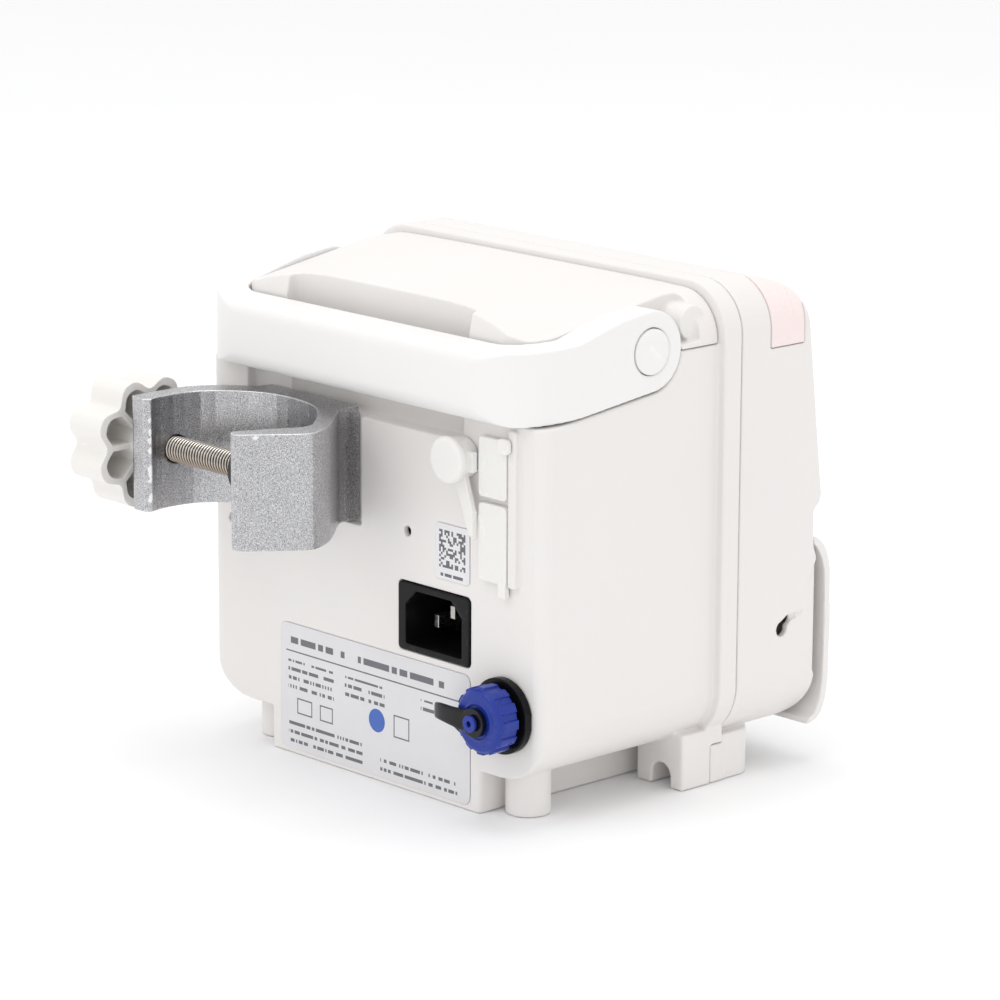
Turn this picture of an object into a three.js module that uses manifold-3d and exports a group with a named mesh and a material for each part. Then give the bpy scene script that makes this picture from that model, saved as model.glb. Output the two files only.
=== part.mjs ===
// Portable volumetric infusion pump with a rear pole clamp.
// Millimetres, +Z up, front (display and door) faces -Y, rear (label, inlet, clamp) faces +Y.
// Origin: on the floor, in the middle of the casing, on the underside of the battery door.
import * as THREE from 'three';
import { mergeVertices } from 'three/addons/utils/BufferGeometryUtils.js';
import Module from 'manifold-3d';

const wasm = await Module();
wasm.setup();
const { Manifold, Mesh } = wasm;

// ---------------------------------------------------------------- driving dimensions
const GAP = 0.3;                 // air between neighbouring pieces
const WALL = 2.4;                // moulded wall
const HALF_W = 74.7;             // half width of the rear casing
const LIP_HALF_W = 77.6;         // half width of the lip ring and front casing
const REAR_Y = 58;               // rear face
const SEAM_Y = -18;              // joint between rear and front casing
const LIP_Y = -11;               // rear edge of the lip ring
const BODY_Z0 = 13;              // underside of the casing
const TOP_Z = 150;               // top of the cover at the front
const LIP_TOP_Z = 151.8;         // top of the lip ring and front casing
const COVER_Z = 134.5;           // joint between rear casing and top cover
const R_BOTTOM = 18;             // lower corner radius
const R_TOP = 14;                // upper corner radius
const BLOCK_X0 = -47.7, BLOCK_X1 = 46;   // battery compartment that reaches the floor
const BLOCK_Y0 = -8;
const PIVOT_Y = 17, PIVOT_Z = 136, ARM_R = 12;   // handle pivot
const ARM_X0 = 65, ARM_X1 = 75.4;        // handle arm
const RECESS_X = 64.2;                   // floor of the arm recess
const GRIP_Y0 = 57.2, GRIP_Y1 = 66.6, GRIP_Z0 = 118.5, GRIP_Z1 = 140.2;
const INLET_X = -27.8, INLET_Z = 53.5, INLET_W = 30.6, INLET_H = 20.5;
const CAP_X = -58.6, CAP_Z = 32.5, CAP_R = 9.45;
const CLAMP_Z0 = 78, CLAMP_Z1 = 112.5;
const SCREW_Y = 85, SCREW_Z = 95.5, SCREW_R = 3.95;
const LEAN = Math.atan(5.8 / 49);         // lean of the display face
const FACE_Y = -49.86, FACE_Z = 112;      // middle of the display face
const HINGE_Y = -46, HINGE_Z = 15.2;     // door hinge axis
const CAM_Y = -26, CAM_Z = 45, MOTOR_Y = 14, MOTOR_Z = 44;

// ---------------------------------------------------------------- helpers
function solid(geo) {
  const g = geo.clone();
  g.deleteAttribute('normal');
  g.deleteAttribute('uv');
  const m = mergeVertices(g, 1e-4);
  const idx = m.index.array;
  const tri = [];
  for (let i = 0; i < idx.length; i += 3) {
    const [a, b, c] = [idx[i], idx[i + 1], idx[i + 2]];
    if (a !== b && b !== c && a !== c) tri.push(a, b, c);
  }
  return new Manifold(new Mesh({ numProp: 3, vertProperties: new Float32Array(m.attributes.position.array), triVerts: new Uint32Array(tri) }));
}
const shapeOf = (pts) => new THREE.Shape(pts.map(([x, y]) => new THREE.Vector2(x, y)));
function extrude(pts, depth, holes = []) {
  const s = shapeOf(pts);
  for (const h of holes) s.holes.push(new THREE.Path(h.map(([x, y]) => new THREE.Vector2(x, y))));
  return new THREE.ExtrudeGeometry(s, { depth, bevelEnabled: false, curveSegments: 1 });
}
const basis = (a, b, c) => new THREE.Matrix4().makeBasis(new THREE.Vector3(...a), new THREE.Vector3(...b), new THREE.Vector3(...c));
const prismZ = (pts, z0, z1) => solid(extrude(pts, z1 - z0).translate(0, 0, z0));
const prismY = (pts, y0, y1) => solid(extrude(pts, y1 - y0).applyMatrix4(basis([1, 0, 0], [0, 0, 1], [0, -1, 0])).translate(0, y1, 0));
const prismX = (pts, x0, x1) => solid(extrude(pts, x1 - x0).applyMatrix4(basis([0, 1, 0], [0, 0, 1], [1, 0, 0])).translate(x0, 0, 0));
const box = (x0, x1, y0, y1, z0, z1) => solid(new THREE.BoxGeometry(x1 - x0, y1 - y0, z1 - z0).translate((x0 + x1) / 2, (y0 + y1) / 2, (z0 + z1) / 2));
function arc(cx, cy, r, a0, a1, n) {
  const out = [];
  for (let i = 0; i <= n; i++) {
    const a = (a0 + (a1 - a0) * i / n) * Math.PI / 180;
    out.push([cx + r * Math.cos(a), cy + r * Math.sin(a)]);
  }
  return out;
}
const ring = (cx, cy, r, n) => arc(cx, cy, r, 0, 360 * (n - 1) / n, n - 1);
const cylX = (r, x0, x1, y, z, n = 16) => prismX(ring(y, z, r, n), x0, x1);
const cylY = (r, y0, y1, x, z, n = 16) => prismY(ring(x, z, r, n), y0, y1);
const cylZ = (r, z0, z1, x, y, n = 16) => prismZ(ring(x, y, r, n), z0, z1);
// rectangle with its own radius at each corner: lower left, lower right, upper right, upper left
function rrect(x0, x1, y0, y1, r, n = 4) {
  const [a, b, c, d] = Array.isArray(r) ? r : [r, r, r, r];
  const corner = (cx, cy, rr, s) => rr > 0 ? arc(cx, cy, rr, s, s + 90, n) : [[cx, cy]];
  return [...corner(x0 + a, y0 + a, a, 180), ...corner(x1 - b, y0 + b, b, 270), ...corner(x1 - c, y1 - c, c, 0), ...corner(x0 + d, y1 - d, d, 90)];
}
const outline = (w, z0, z1, rt, rb, n = 5) => rrect(-w, w, z0, z1, [rb, rb, rt, rt], n);
// closed body through rings of equal count, each ring lying at one Y
function loft(rings) {
  const n = rings[0].length, pos = [], tri = [];
  for (const r of rings) for (const p of r) pos.push(...p);
  for (let k = 0; k + 1 < rings.length; k++) {
    for (let i = 0; i < n; i++) {
      const a = k * n + i, b = k * n + (i + 1) % n, c = a + n, d = b + n;
      tri.push(a, b, d, a, d, c);
    }
  }
  const cap = (k, flip) => {
    const f = THREE.ShapeUtils.triangulateShape(rings[k].map((p) => new THREE.Vector2(p[0], p[2])), []);
    for (const [a, b, c] of f) flip ? tri.push(k * n + a, k * n + c, k * n + b) : tri.push(k * n + a, k * n + b, k * n + c);
  };
  cap(0, true);
  cap(rings.length - 1, false);
  let v = 0;
  for (let i = 0; i < tri.length; i += 3) {
    const P = [0, 1, 2].map((j) => new THREE.Vector3(...pos.slice(3 * tri[i + j], 3 * tri[i + j] + 3)));
    v += P[0].dot(P[1].clone().cross(P[2]));
  }
  if (v < 0) for (let i = 0; i < tri.length; i += 3) [tri[i + 1], tri[i + 2]] = [tri[i + 2], tri[i + 1]];
  return new Manifold(new Mesh({ numProp: 3, vertProperties: new Float32Array(pos), triVerts: new Uint32Array(tri) }));
}
function lathe(profile, n) {
  return new THREE.LatheGeometry(profile.map(([r, h]) => new THREE.Vector2(r, h)), n);
}
const add = (...m) => m.reduce((a, b) => a.add(b));
const cut = (a, ...m) => m.reduce((s, b) => s.subtract(b), a);
const mirrorX = (m) => m.mirror([1, 0, 0]);
// the leaning display face: local x right, y inward, z up the face
const onFace = (m) => m.rotate([-LEAN * 180 / Math.PI, 0, 0]).translate([0, FACE_Y, FACE_Z]);

const part = new THREE.Group();
part.name = 'infusion_pump';
function place(name, m, colour, roughness, metalness = 0) {
  const q = m.getMesh();
  const g = new THREE.BufferGeometry();
  const np = q.numProp, nv = q.vertProperties.length / np;
  const p = new Float32Array(nv * 3);
  for (let i = 0; i < nv; i++) for (let j = 0; j < 3; j++) p[3 * i + j] = q.vertProperties[np * i + j];
  g.setAttribute('position', new THREE.BufferAttribute(p, 3));
  g.setIndex(new THREE.BufferAttribute(new Uint32Array(q.triVerts), 1));
  g.computeVertexNormals();
  const mesh = new THREE.Mesh(g, new THREE.MeshStandardMaterial({ color: colour, roughness, metalness }));
  mesh.name = name;
  part.add(mesh);
}
const SHELL = 0xeae8e4, WHITE = 0xf1efeb, BLACK = 0x17171a, ALU = 0xb9babd, NICKEL = 0xa9a6a0, BLUE = 0x2340b8, GREEN = 0x1f6b3c;

// ---------------------------------------------------------------- handle envelope and its recess
const pivotToGrip = (grow) => {
  // side view (y, z) of the arm: round end at the pivot, tapering to the grip
  const r = ARM_R + grow;
  return [
    ...arc(PIVOT_Y, PIVOT_Z, r, 92, 262, 12),
    [GRIP_Y1 - 5, GRIP_Z0 - grow], ...arc(GRIP_Y1 - 5 + grow, GRIP_Z0 + 5, 5 + grow, 280, 360, 4),
    ...arc(GRIP_Y1 - 5 + grow, GRIP_Z1 - 5, 5 + grow, 0, 80, 4), [GRIP_Y1 - 6, GRIP_Z1 + grow],
    [46, GRIP_Z1 + 1.2 + grow], [36, GRIP_Z1 + 4.2 + grow],
  ];
};
// room for the handle: open to the top and to the rear, round a core with rounded rear corners
const recessOf = (g, core, zLow) => {
  const side = [...arc(PIVOT_Y, PIVOT_Z, ARM_R + 0.9 + g, 180, 262, 8), [REAR_Y + 12, zLow - g], [REAR_Y + 12, 170], [-3.5 - g, 170], [-3.5 - g, 136.6 - g]];
  return cut(prismX(side, -90, 90), prismZ(rrect(-core, core, -60, core - 7.8, [0, 0, core - 51, core - 51], 6), 0, 200));
};
const recess = recessOf(0, RECESS_X, GRIP_Z0 - 1.6);
const recessFat = recessOf(WALL, RECESS_X - WALL, GRIP_Z0 - 1.6);
const fingerWell = box(-40, 40, 51.5, 80, 110, 170);                  // finger room behind the grip
const fingerFat = box(-42.4, 42.4, 49.1, 80, 107.6, 170);
const pinHoles = add(cylX(3.3, 58, 80, PIVOT_Y, PIVOT_Z, 16), cylX(3.3, -80, -58, PIVOT_Y, PIVOT_Z, 16));

// ---------------------------------------------------------------- rear casing
{
  const bodyPlan = prismZ(rrect(-HALF_W, HALF_W, -14, REAR_Y, [0, 0, 5.5, 5.5], 4), 0, 170);
  let outer = prismY(outline(HALF_W, BODY_Z0, TOP_Z, R_TOP, R_BOTTOM), -14, REAR_Y).intersect(bodyPlan);
  outer = cut(outer, box(-90, 90, LIP_Y, 90, COVER_Z - 0.15, 170));
  const lip = prismY(outline(LIP_HALF_W, 12, LIP_TOP_Z, 15.5, R_BOTTOM + 1), SEAM_Y, LIP_Y);
  const block = box(BLOCK_X0, BLOCK_X1, BLOCK_Y0, REAR_Y, 0, BODY_Z0 + 8);
  const foot = (s) => cylZ(6.7, 0, 16, s * 55.1, 45.7, 20);
  const archFoot = (s) => {
    const f = box(52.7, 72.2, -13, -1, 0, BODY_Z0 + 4);
    const a = prismY([[59.2, -1], [67, -1], ...arc(63.1, 3.2, 3.9, 0, 180, 8)], -10, 1);
    const m = cut(add(f, box(52.7, 72.2, SEAM_Y, -12.9, 12, 20)), a, cylY(1.7, -20, -5, 63.1, 4, 10));
    return s > 0 ? m : mirrorX(m);
  };
  outer = add(outer, lip, block, foot(1), foot(-1));
  let cavity = add(
    prismY(outline(HALF_W - WALL, BODY_Z0 + WALL, TOP_Z - WALL, R_TOP - WALL, R_BOTTOM - WALL), SEAM_Y - 1, REAR_Y - WALL),
    prismY(outline(LIP_HALF_W - WALL, 12 + WALL, LIP_TOP_Z - WALL, 13, R_BOTTOM - 1.4), SEAM_Y - 1, SEAM_Y + 4),
  );
  cavity = cut(cavity, recessFat, fingerFat, box(2, 64, 52.1, 80, 75, 120));
  const bay = box(BLOCK_X0 + WALL, BLOCK_X1 - WALL, BLOCK_Y0 + WALL, REAR_Y - WALL, -1, BODY_Z0 + 8);
  let m = cut(outer, cavity, bay, recess, fingerWell, pinHoles);
  m = add(m, archFoot(1), archFoot(-1), box(-5, 5, 48, REAR_Y - 1, 3, 14));
  // clamp pocket, with two holes for the screws that hold the clamp from inside
  m = cut(m, box(4.6, 56, 54.5, 80, 77, GRIP_Z0), cylY(2.6, 45, 60, 28, 86, 12), cylY(2.6, 45, 60, 28, 104, 12));
  // inlet, connector, ports, screws, label seats, battery door screw
  m = cut(m,
    prismY(rrect(INLET_X - INLET_W / 2 - GAP, INLET_X + INLET_W / 2 + GAP, INLET_Z - INLET_H / 2 - GAP, INLET_Z + INLET_H / 2 + GAP, 1.4, 2), 50, 60),
    cylY(7.9, 40, 70, CAP_X, CAP_Z, 24),
    box(-59.3, -49.7, 50, 60, 98, 111.4), box(-59.3, -49.7, 50, 60, 73.4, 91.8),
    cylY(1.6, 50, 60, -15.9, 79.1, 10), cylY(1.6, 50, 60, 64.3, 68.8, 10),
    prismY(rrect(-43.6, 41.6, 1.1, 41, 3, 3), REAR_Y - 0.5, 60),
    prismY(rrect(-43.2, -28.2, 67.4, 84.6, 1.5, 2), REAR_Y - 0.5, 60),
    cylZ(1.4, -1, 11, 0, 52, 10),
  );
  // two ribs that frame the port covers
  m = add(m, box(-64, -60.7, REAR_Y - 1, 60, 70.6, 117), box(-60.9, -49, REAR_Y - 1, 58.2, 94.6, 95.2));
  place('rear_casing', m, SHELL, 0.5);
}

// ---------------------------------------------------------------- top cover
const crown = (x, y) => {
  const t = Math.max(0, (y - 2) / 54), a = 0.5 + 9 * t, c = TOP_Z - 1.5 * t;
  const f = (u) => c - a * Math.pow(Math.min(u, 64) / 64, 4.2);
  const u = Math.abs(x), edge = HALF_W - R_TOP;
  if (u <= edge) return f(u);
  const r = R_TOP, d = Math.min(u - edge, r);
  return f(edge) - r + Math.sqrt(Math.max(0, r * r - d * d));
};
{
  const xs = [1, 0.985, 0.955, 0.915, 0.87, 0.82, 0.76, 0.68, 0.55, 0.35, 0.12];
  const sample = [...xs, ...xs.slice().reverse().map((v) => -v)];
  const section = (y, off, zb) => {
    const w = HALF_W - off;
    const top = sample.map((s) => [s * w, y, Math.max(zb + 0.2, crown(s * HALF_W, y) - off)]);
    return [[-w, y, zb], [w, y, zb], ...top];
  };
  const ys = [LIP_Y + GAP, 2, 20, 38, 56];
  const outer = loft(ys.map((y) => section(y, 0, COVER_Z + 0.15)));
  const inner = cut(loft([-20, 2, 20, 38, 52].map((y) => section(y, WALL, 120))), recessFat, fingerFat);
  // the rear wall leans forward so that the grip clears it when the handle swings up
  const lean = prismX([[56.4, 139], [54.2, 150], [54.2, 170], [80, 170], [80, 139]], -90, 90);
  let m = cut(outer, inner, recess, fingerWell, pinHoles, lean);
  // rounded boss on the front wall of each arm recess
  const boss = cylX(5, RECESS_X - 0.2, 72.5, -2.2, 141.6, 18);
  m = add(m, boss, mirrorX(boss));
  place('top_cover', m, SHELL, 0.48);
}

// ---------------------------------------------------------------- front casing, light bar, door
const frontSide = (o) => [                       // side view (y, z), o = inward offset
  [SEAM_Y - GAP + (o ? 3 : 0), 8 + o], [SEAM_Y - GAP + (o ? 3 : 0), LIP_TOP_Z - o], [-25, LIP_TOP_Z - o], [-32, 151 - o], [-38.9 + o * 0.5, 148.9 - o * 0.8],
  [-43.2 + o * 0.8, 145.7 - o * 0.6], [-44.9 + o * 0.9, 143.2 - o * 0.4], [-46.9 + o, 137], [-52.7 + o, 88], [-53.4 + o, 83.5], [-52.4 + o, 80.6], [-50.2 + o, 79], [-50.2 + o, 20.5],
  [-49 + o, 20.3], [-43 + o, 22 + o * 0.6], [-40.3 + o, 20.5], [-39.6 + o, 16], [-39.8 + o, 8 + o],
];
let frontOuter, lightSlab;
{
  frontOuter = prismY(outline(LIP_HALF_W, 12, LIP_TOP_Z, 15.5, R_BOTTOM + 1), -60, SEAM_Y - GAP).intersect(prismX(frontSide(0), -90, 90));
  const inner = prismY(outline(LIP_HALF_W - WALL, 12 + WALL, LIP_TOP_Z - WALL, 13, R_BOTTOM - 1.4), -60, SEAM_Y + 2)
    .intersect(prismX(frontSide(WALL), -90, 90));
  let m = cut(frontOuter, inner);
  m = cut(m, box(50.7, 90, -44.7, -30.2, 130.7, 170), box(-90, -50.7, -44.7, -30.2, 130.7, 170));   // seats of the alarm lights
  const footF = (s) => {
    const a = add(
      prismZ(rrect(53, 71.4, -33, -18.35, [7, 7, 0, 0], 4), 0, 14),
      box(53, 71.9, -19, -13.3, 0, 11.6),
    );
    const b = cut(a, cylY(1.1, -26, -10, 63.1, 4, 8));
    return s > 0 ? b : mirrorX(b);
  };
  m = add(m, footF(1), footF(-1));
  // display window and key holes in the leaning face
  const keyHole = ([x, z]) => prismY(rrect(x - 6.3, x + 6.3, z - 5.3, z + 5.3, 2.3, 2), -8, 8);
  m = cut(m, onFace(prismY(rrect(-62.3, 24.3, -22.3, 24.3, 2.3, 2), -8, 8)), ...[[38, 15], [57, 15], [38, -9], [57, -9]].map((k) => onFace(keyHole(k))));
  // cheeks at both ends of the door, hollow like the rest of the shell
  const cheekC = [[-50.3, 72], [-50.5, 67.6], [-51.7, 64.6], [-52, 60], [-52, 24], [-51.2, 19.8], [-49.2, 16.2], [-46, 14.2], [-40.5, 12.6], [-36, 12.6], [-36, 72]];
  const cheekI = [[-47.9, 70], [-48.1, 67.6], [-49.3, 64], [-49.6, 60], [-49.6, 25], [-48.8, 21.4], [-47.3, 18.6], [-45, 17], [-40.5, 15.4], [-34, 15.4], [-34, 70]];
  const cheek = prismX(cheekC, 66.3, 78).intersect(prismY(outline(LIP_HALF_W, 12, LIP_TOP_Z, 15.5, R_BOTTOM + 1), -60, -30));
  const cheekHollow = prismX(cheekI, 68.7, 75.2).intersect(prismY(outline(LIP_HALF_W - WALL, 12 + WALL, LIP_TOP_Z - WALL, 13, R_BOTTOM - 1.4), -60, -30));
  m = add(m, cheek, mirrorX(cheek));
  m = cut(m, cheekHollow, mirrorX(cheekHollow));
  // mechanism opening behind the door, and a hook in each side that holds the line: an eye, a neck and a lead-in
  m = cut(m, box(-66, 66, -60, -46, 25, 64));
  const hook = add(cylX(1.9, 73, 80, -37.4, 44.6, 14), prismX([[-38.9, 43.8], [-36.2, 45.8], [-39.2, 47.9], [-40.9, 47.6], [-41.2, 46.6]], 73, 80),
    prismX([[-40.4, 46.4], [-40.2, 47.9], [-45.4, 48.6], [-45.4, 47.2]], 76.7, 80));
  m = cut(m, hook, mirrorX(hook));
  // two knuckles that carry the door's hinge pin
  const knuckle = cut(add(cylX(2.6, 34, 39.6, HINGE_Y, HINGE_Z, 12), box(34, 39.6, HINGE_Y - 2, HINGE_Y + 2, HINGE_Z, 22.4)), cylX(1.5, 30, 42, HINGE_Y, HINGE_Z, 10));
  m = add(m, knuckle, mirrorX(knuckle));
  place('front_casing', m, SHELL, 0.5);

  lightSlab = frontOuter.intersect(box(51, 90, -44.4, -30.5, 131, 170));
  const lightInner = prismY(outline(LIP_HALF_W - 2.2, 100, LIP_TOP_Z - 2.2, 13.3, 13), -60, SEAM_Y).intersect(prismX(frontSide(2.2), -90, 90));
  const corner = cut(lightSlab, lightInner);
  place('alarm_light_right', corner, 0xf3cfcb, 0.35);
  place('alarm_light_left', mirrorX(corner), 0xf3cfcb, 0.35);
}
{
  const outerC = [[-50.9, 70.8], [-53.6, 69.2], [-56.4, 65.2], [-57.8, 60], [-58.2, 44], [-57.8, 25], [-56.6, 18.6], [-54, 14], [-50.4, 11.9], [-46, 11.6]];
  const innerC = [[-46, 13.2], [-49.8, 13.6], [-52.6, 15.4], [-54.6, 19.4], [-55.6, 25.5], [-56, 44], [-55.6, 59.4], [-54.4, 63.4], [-52.4, 66.8], [-50.9, 68.2]];
  let m = prismX([...outerC, ...innerC], -LIP_HALF_W, LIP_HALF_W).intersect(prismY(rrect(-LIP_HALF_W, LIP_HALF_W, 11, 71, [4, 4, 3, 3], 3), -60, -44));
  // hinge barrels at both ends
  const barrel = (x0, x1) => add(cylX(3.2, x0, x1, HINGE_Y, HINGE_Z, 14), box(x0, x1, -50.5, HINGE_Y, 12, 15));
  m = add(m, barrel(40, 60), barrel(-60, -40));
  m = cut(m, box(61.5, 90, -50, -40, 8, 17), box(-90, -61.5, -50, -40, 8, 17), cylX(1.5, -62, 62, HINGE_Y, HINGE_Z, 10), box(-16.3, 16.3, -60, -40, 59.2, 80), box(33.5, 39.9, -50.2, -40, 10, 22), box(-39.9, -33.5, -50.2, -40, 10, 22));
  place('door', m, SHELL, 0.5);
  place('door_hinge_pin', cylX(1.2, -60.5, 60.5, HINGE_Y, HINGE_Z, 10), NICKEL, 0.3, 1);
  const lever = prismX([[-50.9, 70.8], [-53.6, 69.2], [-56.4, 65.2], [-57.9, 60], [-57.9, 59.6], [-55.6, 59.6], [-54.4, 63.4], [-52.4, 66.8], [-50.6, 68.2], [-50.6, 70.8]], -16, 16);
  place('door_latch', lever, WHITE, 0.45);
  place('platen', prismY(rrect(-24, 24, 38, 52, 2, 2), -53.6, -51.6), 0xc9ccd0, 0.4, 0.6);
}

// ---------------------------------------------------------------- display and keys
place('display_lens', onFace(prismY(rrect(-62, 24, -22, 24, 2, 3), 0.1, 2.1)), 0x15181c, 0.12);
place('lcd_module', onFace(box(-58, 20, 2.6, 7, -18, 20)), 0x2b2f33, 0.5);
for (const [name, x, z, c] of [['power_key', 57, 15, 0xdcdcd8], ['menu_key', 38, 15, 0xdcdcd8], ['start_key', 57, -9, 0x5fae6d], ['stop_key', 38, -9, 0xd1604f]]) {
  place(name, onFace(add(prismY(rrect(x - 6, x + 6, z - 5, z + 5, 2, 2), -0.9, 3.4), prismY(rrect(x - 7, x + 7, z - 6, z + 6, 2, 2), 2.9, 3.6))), c, 0.5);
}

// ---------------------------------------------------------------- rear interface
{
  let m = add(
    prismY(rrect(INLET_X - INLET_W / 2, INLET_X + INLET_W / 2, INLET_Z - INLET_H / 2, INLET_Z + INLET_H / 2, 1.2, 2), 54, 58.4),
    box(INLET_X - 13.8, INLET_X + 13.8, 34, 55, INLET_Z - 9.6, INLET_Z + 9.6),
  );
  const w = 12.1, h = 8.25, x = INLET_X, z = INLET_Z;
  const well = [[x - w, z - h], [x + w, z - h], [x + w, z + h - 4.6], [x + w - 4.6, z + h], [x - w + 4.6, z + h], [x - w, z + h - 4.6]];
  m = cut(m, prismY(well, 38, 60));
  const pins = [['inlet_pin_earth', x, z + 2], ['inlet_pin_line', x + 7, z - 2], ['inlet_pin_neutral', x - 7, z - 2]];
  for (const [, px, pz] of pins) m = cut(m, box(px - 1.3, px + 1.3, 30, 40, pz - 2.3, pz + 2.3));
  place('mains_inlet', m, BLACK, 0.4);
  for (const [n, px, pz] of pins) place(n, box(px - 1, px + 1, 30, 50.8, pz - 2, pz + 2), 0xd6d3cc, 0.25, 1);
}
{
  const disc = prismY(ring(CAP_X, CAP_Z, 11.3, 32), 58.3, 60.8).intersect(box(CAP_X - 11, CAP_X + 20, 50, 70, 0, 60));
  let m = add(disc, cylY(7.6, 42, 58.4, CAP_X, CAP_Z, 24), cylY(7.4, 60, 67.2, CAP_X, CAP_Z, 24));
  m = cut(m, cylY(5.8, 52, 72, CAP_X, CAP_Z, 20));
  place('connector_flange', m, BLACK, 0.42);

  // ribbed screw cap, hollow, with a stepped nub that holds the strap
  const pts = [];
  const N = 12;
  for (let i = 0; i < N; i++) {
    const a = 360 * i / N;
    pts.push(...arc(CAP_X, CAP_Z, CAP_R + 0.65, a - 8, a + 8, 2), ...arc(CAP_X, CAP_Z, CAP_R, a + 9, a + 21, 2));
  }
  let c = add(prismY(pts, 62.3, 68.5), cylY(8.7, 68.4, 69.3, CAP_X, CAP_Z, 24), cylY(1.6, 69.2, 72.8, CAP_X, CAP_Z, 12), cylY(2.5, 71.8, 72.8, CAP_X, CAP_Z, 14));
  c = cut(c, cylY(7.8, 60, 67.6, CAP_X, CAP_Z, 24));
  place('dust_cap', c, BLUE, 0.38);
  // rubber strap: an eye round the nub, then a loop that folds back and down behind the cap
  const eye = cylY(4.3, 69.6, 71.4, CAP_X, CAP_Z, 16);
  // x, y, z, half width and half thickness of the strap at each point
  const path = [[-55.8, 70.5, 32.5, 3.2, 0.85], [-50, 70.9, 32.7, 2.9, 0.85], [-45, 70.6, 32.9, 2.6, 0.85], [-41.6, 69.4, 32.5, 2.4, 0.8], [-40.2, 67.4, 31.6, 2.25, 0.8], [-40.8, 65.4, 30.4, 2.15, 0.8], [-43, 64, 28.8, 2.1, 0.8], [-46.2, 63.3, 26.6, 2, 0.8], [-48.8, 63.1, 24.6, 1.9, 0.8]];
  const bead = ([x, y, z, w, t]) => cylZ(t, z - w, z + w, x, y, 8);
  const strap = path.slice(1).map((p, i) => Manifold.hull([bead(path[i]), bead(p)]));
  place('dust_cap_tether', cut(add(eye, ...strap), cylY(1.9, 60, 80, CAP_X, CAP_Z, 12)), BLACK, 0.35);
}
{
  // anchor button with a short strap towards each port cover
  place('cover_anchor', add(
    cylY(6.2, 58.3, 64, -40.9, 105.8, 20), cylY(6.9, 63.8, 66, -40.9, 105.8, 24),
    box(-48.4, -44, 60.4, 62.2, 102.6, 108.6),
    prismY([[-48.4, 83], [-43.4, 95], [-40.5, 100.5], [-45, 102], [-48.4, 90]], 60.4, 62.2),
  ), WHITE, 0.6);
  // port covers: a plate, a plug that fills the port's mouth, and a finger tab
  const up = add(box(-60.3, -48.7, 58.35, 60.1, 96, 113.6), box(-58.6, -50, 57, 58.6, 98.4, 111), box(-62.8, -58, 60.3, 61.6, 110, 114.6), box(-60.3, -58, 59.9, 61.6, 110, 113.6));
  place('port_cover_upper', up, WHITE, 0.6);
  const lo = add(box(-60.3, -48.7, 58.35, 60.1, 71.2, 94.2), box(-58.6, -50, 57, 58.6, 73.8, 91.4), box(-60.3, -57.2, 58.6, 60.4, 67.4, 72));
  place('port_cover_lower', lo, WHITE, 0.6);
  const shellBox = (z0, z1) => cut(box(-58.9, -50.1, 40, 55, z0, z1), box(-58.1, -50.9, 42, 60, z0 + 0.8, z1 - 0.8));
  place('port_shell_upper', shellBox(98.4, 111), 0xc6c7ca, 0.3, 1);
  place('port_shell_lower', shellBox(73.8, 91.4), 0xc6c7ca, 0.3, 1);
}
place('rating_label', prismY(rrect(-43.3, 41.3, 1.4, 40.7, 2.7, 3), 57.8, 58.1), 0xcfcdd3, 0.45);
place('code_label', prismY(rrect(-42.9, -28.5, 67.7, 84.3, 1.2, 2), 57.8, 58.1), 0xe2e0e6, 0.45);
place('rear_screw_left', cylY(1.3, 48, 55.4, -15.9, 79.1, 10), 0x8a8a88, 0.35, 1);
place('rear_screw_right', cylY(1.3, 48, 55.4, 64.3, 68.8, 10), 0x8a8a88, 0.35, 1);
{
  const footScrew = (s) => {
    const m = add(cylY(2.3, -9.6, -7.6, 63.1, 4, 12), cylY(0.8, -22, -9, 63.1, 4, 8));
    return s > 0 ? m : mirrorX(m);
  };
  place('foot_screw_left', footScrew(-1), 0x9a9a96, 0.3, 1);
  place('foot_screw_right', footScrew(1), 0x9a9a96, 0.3, 1);
}

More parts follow.
